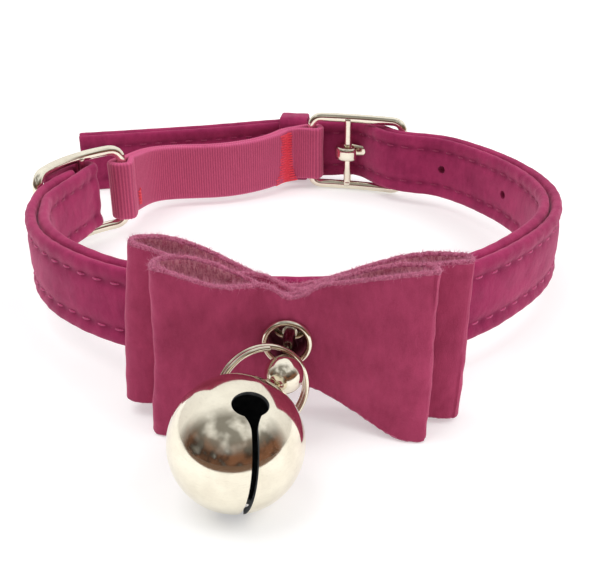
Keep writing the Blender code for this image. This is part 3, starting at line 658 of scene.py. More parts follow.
# %% Nickel plate
def nickel_finish(name, roughness, wave):
    """Polished plate: haze and rub marks change its tone and roughness, and wave is its relief in metres."""
    finish = Finish(bpy.data.materials.new(name), {"Metallic": 1.0, "Roughness": roughness})
    haze = finish.noise(260.0, 4.0, 0.6).sharpen(0.35, 0.75)
    rubs = finish.noise(1500.0, 3.0, 0.6, stretch=(1.0, 1.0, 6.0)).sharpen(0.55, 0.72)
    finish.paint("Base Color", finish.blend(
        haze * 0.7 + rubs * 0.3, tone(238, 232, 214), tone(214, 205, 186)))
    finish.paint("Roughness", roughness + haze * 0.05 + rubs * 0.06)
    finish.relief(finish.noise(150.0, 1.0, 0.5), wave)
    return finish.owner


nickel = nickel_finish("nickel_plate", 0.10, 0.00003)
bell_nickel = nickel_finish("bell_plate", 0.085, 0.00011)


# %% Metal out of the light
def shaded_finish(name, metallic, roughness, grain, edges, deep, light):
    """A dull inner side whose two tones are painted shade and reflection: noise between the two edges mixes
    them.
    """
    finish = Finish(bpy.data.materials.new(name), {"Metallic": metallic, "Roughness": roughness})
    finish.paint("Base Color", finish.blend(finish.noise(grain, 3.0).sharpen(*edges), deep, light))
    return finish.owner


# The bell's inside and pellet are painted dark grey as shade. The eyelet's bore lies so deep in the bow that
# it mirrors only cloth, so that reflection is painted on in maroon.
bell_inside_painted_shade = shaded_finish(
    "bell_inside_painted_shade", 0.0, 0.85, 900.0, (0.3, 0.7), tone(70, 74, 77), tone(96, 100, 103))
# Painted reflection: the bore's maroon tones stand for the shaded cloth it mirrors.
eyelet_bore_painted_reflection = shaded_finish(
    "eyelet_bore", 0.1, 0.6, 700.0, (0.35, 0.65), tone(120, 42, 68), tone(156, 66, 92))

# %% [markdown]
# ## Soft unevenness
#
# Sewn cloth is never quite even. A few sine waves in random directions, added up,
# give a smooth field that can be evaluated anywhere as an array expression.


# %% Smooth unevenness
def ripples(first, second, wave_first, wave_second, seed, terms=7):
    """Sum of sines of (a u + b v + c) over the square root of their number; a and b are drawn at random and
    scaled by 2 pi over the two wavelengths, and c is a random phase."""
    draw = np.random.default_rng(seed)
    total = np.zeros(np.broadcast(first, second).shape)
    for _ in range(terms):
        a, b = 2 * math.pi * draw.normal(0, 0.7, 2) / np.array([wave_first, wave_second])
        total = total + np.sin(a * first + b * second + draw.uniform(0, 2 * math.pi))
    return total / math.sqrt(terms)


# %% [markdown]
# ## The strap
#
# Two padded velvet strips are sewn back to back. Each has rolled edges, and a groove
# where a row of seed stitches pulls the pile down. The strips are swept along the
# strap's middle line, and the groove's depth follows the stitch pitch, so the rolls
# puff up between the needle holes.

# %% Strap strips
stitch_pitch = 0.0034
stitch_length = 0.0017
thread_radius = 0.00016
strip_half = strap_width / 2
stitch_height = strip_half - stitch_inset
section_dent, edge_puff, needle_dent, stitch_groove = 0.00022, 0.00004, 0.00020, 0.00010
groove_width, roll_inset, roll_width = 0.00055, 0.0009, 0.0008
end_roll, least_end, end_drop = 0.0006, 0.12, 0.035
broad_swell, fine_swell, back_swell = 0.00004, 0.00002, 0.25
line_shade, needle_shade = 0.45, 0.75


def strip_outline(outer_side):
    """Smooth closed section through a mirrored list of rows: rolled edges, a dent at each stitch line, and a
    flat back."""
    outer = ply / 2
    half = np.array([
        (-outer, -strip_half + outer),
        (-outer * 0.45, -strip_half + outer * 0.16),
        (outer * 0.35, -strip_half),
        (outer * 0.93, -strip_half + outer * 0.55),
        (outer * 1.02, -strip_half + stitch_inset * 0.55),
        (outer - section_dent, -stitch_height),
        (outer - section_dent * 0.1, -strip_half + stitch_inset * 1.6),
        (outer, 0.0)])
    mirror = half[:-1][::-1] * np.array([1.0, -1.0])
    outline = natural_spline(np.vstack([half, mirror]), 64, closed=True)
    return outline * np.array([1.0 if outer_side else -1.0, 1.0])


def strip_part(route, outer_side, seed):
    """The strip's points: section + outward normal * (puff - needle dents + unevenness)."""
    path = stand(route)
    run = lengths(path)[:, None]
    side = np.column_stack([rightward(path), np.zeros(len(path))])
    outline = strip_outline(outer_side)
    way = directions(np.vstack([outline[-1:], outline, outline[:1]]))[1:-1]
    normal = np.stack([way[:, 1], -way[:, 0]], -1)
    normal = normal * np.sign(np.sum(normal * (outline - outline.mean(0)), -1).sum())
    across, height = outline[None, :, 0] * (1 if outer_side else -1), outline[None, :, 1]
    on_front = np.clip(across / (ply / 2), 0, 1) ** 2
    line = np.exp(-((np.abs(height) - stitch_height) / groove_width) ** 2) * on_front
    roll = np.exp(-((np.abs(height) - strip_half + roll_inset) / roll_width) ** 2)
    needle = 0.5 + 0.5 * np.cos(2 * math.pi * run / stitch_pitch)
    puff = edge_puff * roll * (1 - 2 * needle) - needle_dent * line * needle ** 2 - stitch_groove * line
    uneven = (broad_swell * ripples(run, height, 0.012, 0.010, seed)
              + fine_swell * ripples(run, height, 0.003, 0.003, seed + 1))
    uneven = uneven * (back_swell + (1 - back_swell) * on_front)
    moved = outline[None] + normal[None] * (puff + uneven)[..., None]
    fade = np.minimum(run[:, 0], run[-1, 0] - run[:, 0]) / end_roll
    squeeze = np.sqrt(np.clip(1 - np.clip(1 - fade, 0, 1) ** 2, least_end, 1))
    moved[..., 0] *= squeeze[:, None]
    moved[..., 1] *= (1 - end_drop + end_drop * squeeze)[:, None]
    # Painted shade for the colour: strongest in the stitch grooves, and more at each needle hole.
    seam = np.clip(line * (line_shade + needle_shade * needle), 0, 1)
    part = facing_out(swept(path, moved, side, all_along(path, upright)))
    return part, np.concatenate([seam.ravel(), [0.0, 0.0]]), path, side


def loop_tab():
    """Plan points of the lining's end: out along the strap, round the slide's bar and back in."""
    bend = wire_radius + seat_gap + ply / 2
    rest = pass_offset - strap_thickness / 2 - seat_gap - ply / 2
    rows = [(tab_length - bar_reach, 0.0001 - rest), (tab_length * 0.72 - bar_reach, 0.00035 - rest),
            (tab_length * 0.36 - bar_reach, bend * 0.62), (-bar_reach, bend)]
    rows += [(bend * math.cos(angle) - bar_reach, bend * math.sin(angle))
             for angle in np.radians((135, 180, 225))]
    rows += [(-bar_reach, -bend), (slide_exit, -pass_offset - 0.0003)]
    return [on_slide(along, outward) for along, outward in rows]


def shifted(path, distance):
    """A plan path moved to its right by a distance."""
    return path + distance * rightward(path)


ply_shift = (ply + seat_gap) / 2
face_route = evenly(shifted(middle, ply_shift), 1150)
inner_route = shifted(middle, -ply_shift)
lining_places = loop_tab() + list(inner_route[120::40]) + [inner_route[-1]]
lining_route = evenly(natural_spline(lining_places, 3000), 1200)
face_part, face_seam_shade, face_path, face_side = strip_part(face_route, True, 3)
lining_part, lining_seam_shade, lining_path, lining_side = strip_part(lining_route, False, 5)
strap_face = new_piece("velvet_face", *placed(face_part), [velvet], "velvet", {"seam": face_seam_shade})
strap_lining = new_piece("velvet_lining", *placed(lining_part), [velvet], "velvet", {"seam": lining_seam_shade})
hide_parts("strap_face")
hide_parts("strap_lining")
print("strap face", round(lengths(face_path)[-1], 4), "m long")


# %% Holes through cloth
def rod(start, end, radius, sides=24):
    """A closed cylinder between two points."""
    path = np.array([start, end], float)
    ahead = unit(path[1] - path[0])
    side = unit(np.cross(ahead, upright if abs(ahead[2]) < 0.9 else (0.0, 1.0, 0.0)))
    up = np.cross(ahead, side)
    return facing_out(swept(path, round_section(radius, sides), all_along(path, side), all_along(path, up)))


def pierce(piece, parts, sharp=math.radians(40), zone=0):
    """Cut closed shapes out of a piece with an exact boolean. zone is the number of the piece's material that
    the new walls get, and edges past the sharp angle stay crisp."""
    points, faces = join_parts(parts)
    mesh = bpy.data.meshes.new("cutter")
    mesh.from_pydata(points.tolist(), [], [row.tolist() for block in faces for row in block])
    mesh.polygons.foreach_set("material_index", np.full(len(mesh.polygons), zone, np.int32))
    cutter = bpy.data.objects.new("cutter", mesh)
    bpy.context.scene.collection.objects.link(cutter)
    change = piece.modifiers.new("holes", "BOOLEAN")
    change.operation = "DIFFERENCE"
    change.solver = "EXACT"
    change.object = cutter
    bpy.context.view_layer.update()
    seen = piece.evaluated_get(bpy.context.evaluated_depsgraph_get())
    cut = bpy.data.meshes.new_from_object(seen)
    piece.modifiers.clear()
    piece.data = cut
    bpy.data.objects.remove(cutter)
    cut.shade_smooth()
    cut.set_sharp_from_angle(angle=sharp)
    print(piece.name, "pierced,", len(cut.polygons), "faces")


# %% The prong's route and the punched holes
def prong_route():
    """Round the bar, through the strap and onto the frame's far end."""
    bend = wire_radius + seat_gap + prong_radius
    bowed = buckle_bow * (1 - (bar_reach / half_frame) ** 2)
    angles = np.radians(np.arange(150, -94, -27))
    flat = [(bar_reach + bend * math.cos(angle), bowed - bend * math.sin(angle)) for angle in angles]
    flat += [(bar_reach + share * (-half_frame - prong_radius - bar_reach), bowed * (1 - share) + bend)
             for share in (0.25, 0.5, 0.75, 1.0)]
    return np.array([(*local(buckle_place, buckle_heading, along, outward), frame_middle(buckle_place))
                     for along, outward in flat])


tongue = prong_route()
straight = tongue[-5:, :2]
tongue_line = evenly(straight, 400)
middle_run = lengths(middle)
distance = np.linalg.norm(middle[:, None] - tongue_line[None], axis=2).min(axis=1)
used_hole = middle_run[np.argmin(np.where(middle_run > 0.5 * middle_run[-1], distance, 1.0))]
used_hole_ease = 1.25
holes = [rod(tongue[-5], tongue[-1], prong_radius * used_hole_ease)]
for step in (-2, -1, 1, 2):
    spot = int(np.argmin(np.abs(middle_run - used_hole - step * punch_spacing)))
    reach = np.append(rightward(middle)[spot], 0.0) * strap_thickness
    heart = stand(middle)[spot]
    holes.append(rod(heart - reach, heart + reach, punch_diameter / 2))
holes = [placed(hole) for hole in holes]
pierce(strap_face, holes)
pierce(strap_lining, holes)


# %% Seed stitches
stitch_sink, stitch_rise, stitch_wobble, stitch_slant = 0.00040, 0.00022, 0.00008, 0.00005
stitch_rings, stitch_sides = 9, 6


def running_stitches(path, side, outward, height, first, last):
    """Bent capsules, one in the middle of every pitch. Each stands proud of the cloth in its middle and dips
    in at its ends, by a cosine. All the stitches' rings are one array."""
    run = lengths(path)
    starts = np.arange(first, last, stitch_pitch)
    share = np.linspace(0, 1, stitch_rings)
    at = starts[:, None] + share * stitch_length + stitch_pitch * 0.5 - stitch_length / 2
    place = np.stack([np.interp(at, run, path[:, axis]) for axis in range(3)], -1)
    out = unit(np.stack([np.interp(at, run, side[:, axis]) for axis in range(3)], -1)) * outward
    rise = 0.5 - 0.5 * np.cos(2 * math.pi * share)
    wobble = stitch_wobble * np.sin(np.arange(len(starts)) * 2.4)[:, None]
    place = place + out * (ply / 2 - stitch_sink + stitch_rise * rise ** 0.6)[None, :, None]
    place[..., 2] += height + wobble + stitch_slant * (share - 0.5)
    size = thread_radius * np.sqrt(np.clip(1 - (2 * share - 1) ** 6, 0.02, 1))
    angle = np.arange(stitch_sides) * 2 * math.pi / stitch_sides
    ring = size[None, :, None, None] * (
        np.cos(angle)[:, None] * out[:, :, None] + np.sin(angle)[:, None] * upright)
    points = (place[:, :, None] + ring).reshape(-1, 3)
    stride = stitch_rings * stitch_sides
    before = stride * np.arange(len(starts))[:, None, None]
    first_ring = np.arange(stitch_sides)
    caps = np.stack([first_ring[::-1], first_ring + stride - stitch_sides])
    return points, [(quads(stitch_rings, stitch_sides) + before).reshape(-1, 4),
                    (caps + before).reshape(-1, stitch_sides)]


def stitch_rows(path, side, outward, skip_start, skip_end):
    """Two rows, along the strip's lower and upper edge, that leave its two ends free."""
    end = lengths(path)[-1] - skip_end
    return join_parts([facing_out(running_stitches(path, side, outward, height, skip_start, end))
                       for height in (-stitch_height, stitch_height)])


face_rows = stitch_rows(face_path, face_side, outward=1, skip_start=0.004, skip_end=0.006)
lining_rows = stitch_rows(lining_path, lining_side, outward=-1, skip_start=0.020, skip_end=0.006)
new_piece("face_stitches", *placed(face_rows), [seam_thread], "velvet")
new_piece("lining_stitches", *placed(lining_rows), [shaded_lining_thread], "velvet")

# %% [markdown]
# ## Elastic and keeper
#
# The stretch section is a doubled ribbed elastic that turns round the slide's near
# bar and round the buckle's bar. Its ribs run across it, one about every half
# millimetre, and they are real ridges here. The keeper is a narrow velvet band that
# goes once round the strap's free end. Red thread tacks the elastic at both its ends.

# %% Elastic
rib_pitch = 0.00052
rib_height = 0.00003
rib_scallop = 0.00006
selvedge_share = 0.10
elastic_corner, elastic_swell = 0.0005, 0.00005


def elastic_route_line():
    """Out along one layer, round the buckle's bar, back along the other, round the slide's bar."""
    apart = (elastic_thickness + ply_gap) / 2
    bend = wire_radius + 1.5 * seat_gap + elastic_thickness / 2
    at_keeper = local(buckle_place, buckle_heading, half_frame + keeper_reach, -elastic_dip)
    line = natural_spline(
        [slide_bar] + [in_plan(row) for row in elastic_route] + [at_keeper, buckle_bar], 800)
    clear = bend * elastic_ease
    core = at_length(line, np.linspace(clear, lengths(line)[-1] - clear, 60))
    points = list(shifted(core, apart))
    for bar, entry in ((buckle_bar, core[-1]), (slide_bar, core[0])):
        away = unit(bar - entry)
        across = np.array([away[1], -away[0]])
        points += [bar + bend * (math.cos(angle) * away + math.sin(angle) * across)
                   for angle in np.radians((70, 35, 0, -35, -70))]
        if bar is buckle_bar:
            points += list(shifted(core, -apart))[::-1]
    return natural_spline(points, 2400, closed=True)


def rounded_outline(across, tall, corner, flats):
    """A closed rectangle with round corners, and flats points spread along each upright side."""
    turn = np.radians(np.linspace(0, 90, 5))
    parts = []
    for side, high, first in ((1, 1, 0.0), (-1, 1, 90.0), (-1, -1, 180.0), (1, -1, 270.0)):
        angle = turn + math.radians(first)
        parts.append(np.stack([side * (across / 2 - corner) + corner * np.cos(angle),
                               high * (tall / 2 - corner) + corner * np.sin(angle)], -1))
        if high == side:
            continue
        level = np.linspace(1, -1, flats + 2)[1:-1, None] * (tall / 2 - corner)
        parts.append(np.hstack([np.full_like(level, side * across / 2), high * level]))
    return np.vstack(parts)


def elastic_part():
    """Section + outward normal * rib_height * cos(2 pi run / rib_pitch), faded out at the two selvedges."""
    route = evenly_round(elastic_route_line(), 1500)
    run = lengths(lapped(route))
    run, total = run[:-1, None], run[-1]
    ribs = round(total / rib_pitch)
    side = np.column_stack([rightward(route, True), np.zeros(len(route))])
    path = np.column_stack([route, hang(route)])
    outline = rounded_outline(elastic_thickness, elastic_width, elastic_corner, 10)
    height = np.abs(outline[:, 1]) / (elastic_width / 2)
    edge = np.clip((height - (1 - selvedge_share)) / selvedge_share, 0, 1)
    rib = 0.5 + 0.5 * np.cos(2 * math.pi * ribs * run / total)
    ridge = rib_height * (rib - 0.5) * 2 * (1 - edge[None])
    uneven = elastic_swell * ripples(run, outline[None, :, 1], 0.014, 0.012, 21)
    moved = np.repeat(outline[None], len(route), 0)
    moved[..., 0] += np.sign(outline[None, :, 0]) * (ridge + uneven)
    moved[..., 1] += np.sign(outline[None, :, 1]) * edge[None] * rib_scallop * (1 - 2 * rib)
    traits = {"rib": np.broadcast_to(rib, moved.shape[:2]),
              "selvedge": np.broadcast_to(edge[None], moved.shape[:2])}
    return facing_out(swept(path, moved, side, all_along(path, upright), closed=True)), traits, path, side


part, traits, elastic_line, elastic_side = elastic_part()
elastic = new_piece("elastic_webbing", *placed(part), [elastic_material], "webbing", traits)
elastic_length = float(lengths(lapped(elastic_line))[-1])
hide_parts("elastic")


# %% Keeper
keeper_corner, keeper_edge, keeper_slim, keeper_swell = 0.0016, 0.00036, 0.92, 0.00006


def keeper_part():
    """A band round the strap: a flat section with round edges carried round a rounded rectangle."""
    spot = int(np.argmin(np.linalg.norm(middle - keeper_at, axis=1)))
    ahead = np.append(directions(middle)[spot], 0.0)
    out = np.append(rightward(middle)[spot], 0.0)
    heart = stand(middle)[spot]
    across = strap_thickness + 4 * seat_gap + keeper_thickness
    tall = strap_width + 2 * seat_gap + keeper_thickness
    around = evenly_round(rounded_outline(across, tall, keeper_corner, 40), 260)
    path = heart + around[:, :1] * out + around[:, 1:] * upright
    face = np.cross(directions(path, True), ahead)
    run = lengths(lapped(path))[:-1, None]
    band = rounded_outline(keeper_thickness * keeper_slim, keeper_length, keeper_edge, 22)
    swell = keeper_swell * ripples(run, band[None, :, 1], 0.006, 0.004, 31)
    moved = np.repeat(band[None], len(path), 0)
    moved[..., 0] += np.sign(band[None, :, 0]) * swell
    return facing_out(swept(path, moved, face, all_along(path, ahead), closed=True))


keeper_points, keeper_faces = placed(keeper_part())
keeper = new_piece("keeper_band", keeper_points, keeper_faces, [velvet], "velvet",
                   {"seam": np.zeros(len(keeper_points))})
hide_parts("keeper")


# %% Red tacks on the elastic
tack_wire, tack_end = 0.00014, 0.0003
tack_low, tack_proud = 0.00003, 0.00016
tack_foot = 0.0021
tack_head = tack_foot + elastic_width - 0.0006
tack_reach, tack_jitter = 0.0004, (0.85, 1.1)


def on_elastic(where, height, proud):
    """A place on the elastic's inner face: where is a distance past the buckle's bar, and height is from the
    floor."""
    ahead = np.array([math.cos(buckle_heading), math.sin(buckle_heading)])
    inward = np.array([-ahead[1], ahead[0]])
    gone = (elastic_line[:, :2] - buckle_bar) @ ahead
    depth = (elastic_line[:, :2] - buckle_bar) @ inward
    close = (np.abs(gone - where) < tack_reach) & (elastic_line[:, 1] > 0.5 * loop_half_depth)
    flat = buckle_bar + where * ahead + (depth[close].max() + elastic_thickness / 2 + proud) * inward
    return np.array([flat[0], flat[1], height])


def on_band(where, height, proud):
    """A place on the elastic's outer side: where is a distance along its loop, from its start by the slide,
    and height is from the floor."""
    spot = int(round(where / elastic_length * len(elastic_line)))
    flat = elastic_line[spot, :2] + elastic_side[spot, :2] * (elastic_thickness / 2 + proud)
    return np.array([flat[0], flat[1], height])


def tack_part(surface, middle_at, low, high, wide_low, wide_high, rows, seed):
    """A zigzag of one thread, in even rows from low to high. Its half width grows towards the foot by the
    fourth power of the way down, and each row's is a little random."""
    draw = np.random.default_rng(seed)
    points = []
    for step in range(rows):
        share = step / (rows - 1)
        wide = wide_high + (wide_low - wide_high) * (1 - share) ** 4
        way = -1 if step % 2 else 1
        height = low + (high - low) * share
        points.append(surface(middle_at + way * wide * draw.uniform(*tack_jitter), height, tack_low))
        points.append(surface(middle_at, height + (high - low) / rows * 0.5, tack_proud))
    return tube(natural_spline(points, rows * 26), tack_wire, 8, end_round=tack_end)


keeper_tack = tack_part(on_elastic, middle_at=keeper_reach - 0.0004, low=tack_foot, high=tack_head,
                        wide_low=0.0019, wide_high=0.0009, rows=40, seed=8)
slide_tack = tack_part(on_band, middle_at=0.0014, low=0.0042, high=0.0074,
                       wide_low=0.0006, wide_high=0.0006, rows=11, seed=9)
tack = new_piece("bar_tack", *placed(join_parts([keeper_tack, slide_tack])), [tack_thread], "webbing")

# %% [markdown]
# ## The bow
#
# Each loop of the bow is one band of brushed cloth, folded flat and pinched at the
# middle. In plan it is a closed curve; at each point of it the cloth has its own
# lower and upper edge. The curve is a uniform B-spline that a short table guides: it
# passes near each row, which gives the folds their soft turns. The section carried
# along it is the cloth's thickness, with soft cut edges.

# %% Bow sizes
front_top, front_foot, back_top, back_foot = 0.0249, 0.0, 0.0253, 0.0014
back_half_width, back_pocket, back_swing = 0.0232, 0.0046, 0.0010
front_half_width, front_pocket, front_swing = 0.0185, 0.0048, 0.0031
back_tilt, front_tilt = math.radians(2.0), 0.0
bow_waist = 0.0122
bow_cloth = 0.0010
eyelet_wall, eyelet_lip, eyelet_flange = 0.0003, 0.0005, 0.0069
left_share = 0.92
left_lean = 0.045
strap_front = stud_middle - strap_thickness / 2
base_thickness = 0.0005
back_flange = strap_front - seat_gap - base_thickness - ply_gap
first_cloth = back_flange - eyelet_lip - ply_gap
second_cloth = first_cloth - 2 * bow_cloth - ply_gap - seat_gap
front_cloth = second_cloth - 2 * bow_cloth - ply_gap
bow_sections = np.array([
    # reach  swing  open left, right  front top left, right  back top  foot
    (0.00, 0.00, 0.00, 0.00, 0.00, 0.00, 0.00, 0.00),
    (0.12, 0.00, 0.00, 0.00, 0.34, 0.12, 0.14, 0.10),
    (0.24, 0.00, 0.00, 0.00, 0.36, 0.40, 0.30, 0.22),
    (0.37, 0.24, 0.28, 0.20, 0.40, 0.52, 0.50, 0.38),
    (0.55, 0.62, 0.75, 0.42, 0.52, 0.72, 0.80, 0.62),
    (0.76, 0.90, 0.95, 0.55, 0.84, 0.90, 1.00, 0.96),
    (0.91, 1.00, 0.85, 0.55, 0.98, 1.00, 1.00, 1.00),
    (0.985, 1.00, 0.45, 0.35, 1.00, 1.00, 1.00, 1.00),
])


# %% Bow loops
def closed_blend(columns, count):
    """Uniform cubic B-spline of closed rows: four neighbours weigh (1-t)^3, 3t^3-6t^2+4, -3t^3+3t^2+3t+1 and
    t^3, all over 6."""
    value = np.linspace(0, len(columns), count, endpoint=False)
    span = value.astype(int)
    t = (value - span)[:, None]
    weights = ((1 - t) ** 3, 3 * t ** 3 - 6 * t ** 2 + 4, -3 * t ** 3 + 3 * t ** 2 + 3 * t + 1, t ** 3)
    return sum(weight / 6 * columns[(span + shift) % len(columns)]
               for shift, weight in zip((-1, 0, 1, 2), weights))


def bow_columns(pocket, swing, back_face, span):
    """Rows of (reach, y, foot, top) once round the loop: the front from right to left, then the back."""
    waist = bow_waist / 2
    pinch = (bow_cloth + ply_gap) / 2
    middle_y = back_face - bow_cloth - ply_gap / 2
    above, below = span[1] - eyelet_height, eyelet_height - span[0]
    reach, forward, open_left, open_right, front_left, front_right, back_rise, drop = bow_sections.T
    centre = middle_y - swing * forward
    low = waist + (below - waist) * drop

    def layer(side, front):
        """The rows of one side of the front or the back layer, from the middle outwards."""
        half_open = pinch + (pocket / 2 - pinch - bow_cloth / 2) * (open_left if side < 0 else open_right)
        rise = back_rise if not front else front_left if side < 0 else front_right
        return np.stack([side * reach, centre - half_open if front else centre + half_open,
                         low, waist + (above - waist) * rise], -1)

    fold = [np.array([[side, middle_y - swing, below, above]]) for side in (1, -1)]
    return np.vstack([layer(1, True)[::-1], layer(-1, True)[1:], fold[1],
                      layer(-1, False)[::-1][:-1], layer(1, False), fold[0]])


bow_rings, bow_blend = 720, 4000
wall_rows, rim_steps = 34, 7
suede_zone, reverse_zone, cut_zone = 0, 1, 2
rim_share, rim_bulge, rim_ragged = 0.34, 1.15, 0.00005
fray_from, fray_reach, fray_swell, cloth_swell = 0.93, 0.07, 0.12, 0.10
broad_sway, fine_sway = 0.00022, 0.00007
gather_reach, floor_clearance = 0.006, 0.00002


def bow_rows(half_width, pocket, swing, back_face, span):
    """The blended columns at places an equal distance apart round the loop, those distances, and the loop's
    whole length."""
    fine = closed_blend(bow_columns(pocket, swing, back_face, span), bow_blend)
    run = lengths(lapped(fine[:, :2] * [half_width, 1.0]))
    distance = np.linspace(0, run[-1], bow_rings, endpoint=False)
    value = np.interp(distance, run, np.arange(bow_blend + 1))
    whole = value.astype(int) % bow_blend
    step = fine[(whole + 1) % bow_blend] - fine[whole]
    return (fine[whole] + (value % 1)[:, None] * step).T, distance[:, None], run[-1]


def cloth_section():
    """Once round the cloth's section: height share, rim share and side, each from -1 to 1, and its zone. The
    outer wall comes first, then the top rim, the inner wall and the bottom rim."""
    wall, flat = np.linspace(-1, 1, wall_rows), np.ones(wall_rows)
    rim = np.radians(np.linspace(0, 180, rim_steps + 2))[1:-1]
    top = np.ones(rim_steps)
    height = np.concatenate([wall, top, -wall, -top])
    cap = np.concatenate([0 * flat, np.sin(rim), 0 * flat, -np.sin(rim)])
    side = np.concatenate([flat, np.cos(rim), -flat, -np.cos(rim)])
    cut = np.full(rim_steps + 1, cut_zone)
    zone = np.concatenate([np.full(wall_rows - 1, suede_zone), cut,
                           np.full(wall_rows - 1, reverse_zone), cut])
    return height, cap, side, zone


def bow_part(half_width, pocket, swing, back_face, span, tilt, seed):
    """Point = blend of columns at a height + plan normal * (half the cloth + unevenness), and the rims are
    half ellipses. Gives the part, its zones, its grid of points, the loop's length and its cloth's area."""
    (reach, forward, foot_drop, rise), distance, length = bow_rows(half_width, pocket, swing, back_face, span)
    plan = np.stack([reach * half_width, forward], -1)
    normal = rightward(plan, True)
    if np.sum(np.cross(plan, np.roll(plan, -1, axis=0))) < 0:
        normal = -normal
    height, cap, side, zone = cloth_section()
    edge = bow_cloth * rim_share
    middle_up = (rise - foot_drop)[:, None] / 2
    half_up = (rise + foot_drop)[:, None] / 2 - edge
    ragged = rim_ragged * ripples(distance, 0.0, 0.0007, 1.0, seed + 5, 12)
    up = middle_up + half_up * height + cap * edge * rim_bulge + np.abs(cap) * ragged
    fray = np.clip((np.abs(up - middle_up) / half_up - fray_from) / fray_reach, 0, 1)
    bulk = side * bow_cloth / 2 * (
        1 + cloth_swell * ripples(distance, up, 0.003, 0.003, seed + 1)
        + fray_swell * fray * ripples(distance, side, 0.0009, 1.0, seed + 2))
    held = np.exp(-((reach * half_width)[:, None] / gather_reach) ** 2)
    sway = broad_sway * ripples(distance, up, 0.030, 0.030, seed + 3) * (1 - held)
    sway = sway + fine_sway * ripples(distance, up, 0.009, 0.011, seed + 4) * (1 - held)
    across = reach[:, None] * half_width * np.where(reach < 0, left_share, 1.0)[:, None]
    across = across - left_lean * np.minimum(reach, 0.0)[:, None] * up
    x = across + normal[:, :1] * (bulk + sway)
    y = forward[:, None] + normal[:, 1:] * (bulk + sway)
    points = np.stack([x, np.broadcast_to(y, x.shape), up], -1)
    lean = np.array(Matrix.Rotation(tilt, 3, "Y"))
    points = points @ lean.T + np.array([stud_across, 0.0, eyelet_height])
    points[..., 2] = np.maximum(points[..., 2], floor_clearance - drawing_origin[2])
    part = facing_out((points.reshape(-1, 3), [quads(*points.shape[:2], close_rows=True)]))
    zones = np.broadcast_to(zone, points.shape[:2]).ravel()
    return part, zones, points, length, float(np.mean(rise + foot_drop) * length)


def bow_loop(name, *sizes):
    """One loop as a piece, with the eyelet's hole cut through both its layers. Gives the piece, its grid of
    points, its length and its area."""
    part, zones, grid, length, area = bow_part(*sizes)
    piece = new_piece(name, *placed(part), [suede, reverse, cut_edge], "suede",
                      {"seam": np.zeros(len(part[0]))}, zones)
    radius = eyelet_bore / 2 + eyelet_wall + seat_gap * 0.8
    hole = rod((stud_across, first_cloth + 2 * bow_cloth, eyelet_height),
               (stud_across, front_cloth - 2 * bow_cloth, eyelet_height), radius, 48)
    pierce(piece, [placed(hole)], math.radians(50))
    return piece, grid, length, area


bow_back, back_grid, back_length, back_area = bow_loop(
    "bow_back_loop", back_half_width, back_pocket, back_swing, first_cloth, (back_foot, back_top),
    back_tilt, 40)
bow_front, front_grid, front_length, front_area = bow_loop(
    "bow_front_loop", front_half_width, front_pocket, front_swing, second_cloth, (front_foot, front_top),
    front_tilt, 60)
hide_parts("bow_back")
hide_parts("bow_front")


# %% Loose fibres at the bow's cut edges
fibre_count, fibre_half_width, fibre_floor = 9000, 0.000017, 0.0002
inner_wall = wall_rows + rim_steps
rim_end = inner_wall + 2
rim_portion, wall_depth, wall_fade = 0.55, 21, 7.0
fibre_out, fibre_climb, fibre_lean, fibre_bend = 0.7, 0.6, 0.75, 0.55
fibre_short, fibre_long = 0.00018, 0.00060
both_walls = [10, 60]  # a column of the outer wall and one of the inner


def fibres(grid, seed):
    """Thin three-step blades, most of them on the top rim and the others on the inner wall just below. A
    blade's point at share s is root + length * (s * direction + s^2 * bend). Its direction adds outward, up
    and a random lean, and its width tapers as 1.05 - s^2."""
    draw = np.random.default_rng(seed)
    rings, around = grid.shape[:2]
    ring = draw.integers(0, rings, fibre_count)
    spot = np.where(draw.random(fibre_count) < rim_portion,
                    draw.integers(wall_rows - 1, rim_end, fibre_count),
                    draw.integers(inner_wall, inner_wall + wall_depth, fibre_count))
    keep = np.where(spot > rim_end, draw.random(fibre_count) < np.exp(-(spot - rim_end) / wall_fade), True)
    ring, spot = ring[keep], spot[keep]
    root = grid[ring, spot]
    along = unit(grid[(ring + 1) % rings, spot] - root)
    climb = unit(grid[ring, (spot + 1) % around] - root)
    out = unit(np.cross(along, climb))
    heart = grid[ring][:, both_walls].mean(1)
    out = out * np.sign(np.sum(out * (root - heart), -1))[:, None]
    size = len(root)
    climbing = fibre_climb * upright * (spot <= rim_end)[:, None]
    lean = unit(out * fibre_out + climbing + draw.normal(0, fibre_lean, (size, 3)))
    bend = draw.normal(0, fibre_bend, (size, 3))
    long = draw.uniform(fibre_short, fibre_long, size)[:, None, None]
    share = np.array([0.0, 0.4, 0.75, 1.0])[None, :, None]
    spine = root[:, None] + long * (share * lean[:, None] + share ** 2 * bend[:, None])
    flat = unit(np.cross(lean, draw.normal(0, 1, (size, 3))))[:, None]
    width = flat * fibre_half_width * (1.05 - share ** 2)
    points = np.stack([spine - width, spine + width], 2).reshape(-1, 3)
    step = np.array([[0, 2, 3, 1], [2, 4, 5, 3], [4, 6, 7, 5]])
    faces = (step[None] + 8 * np.arange(size)[:, None, None]).reshape(-1, 4)
    points[:, 2] = np.maximum(points[:, 2], fibre_floor)
    return points, [faces]


fuzz_back = new_piece("bow_back_fibres", *placed(fibres(back_grid, 71)), [fibre_material], "suede")
fuzz_front = new_piece("bow_front_fibres", *placed(fibres(front_grid, 72)), [fibre_material], "suede")

# %% [markdown]
# ## Metal parts
#
# The slide and the buckle are bent from round wire with a bar across. The stud and the
# eyelet are turned, so each is a profile spun about the bow's axis. The split ring is
# a helix of nearly two turns.


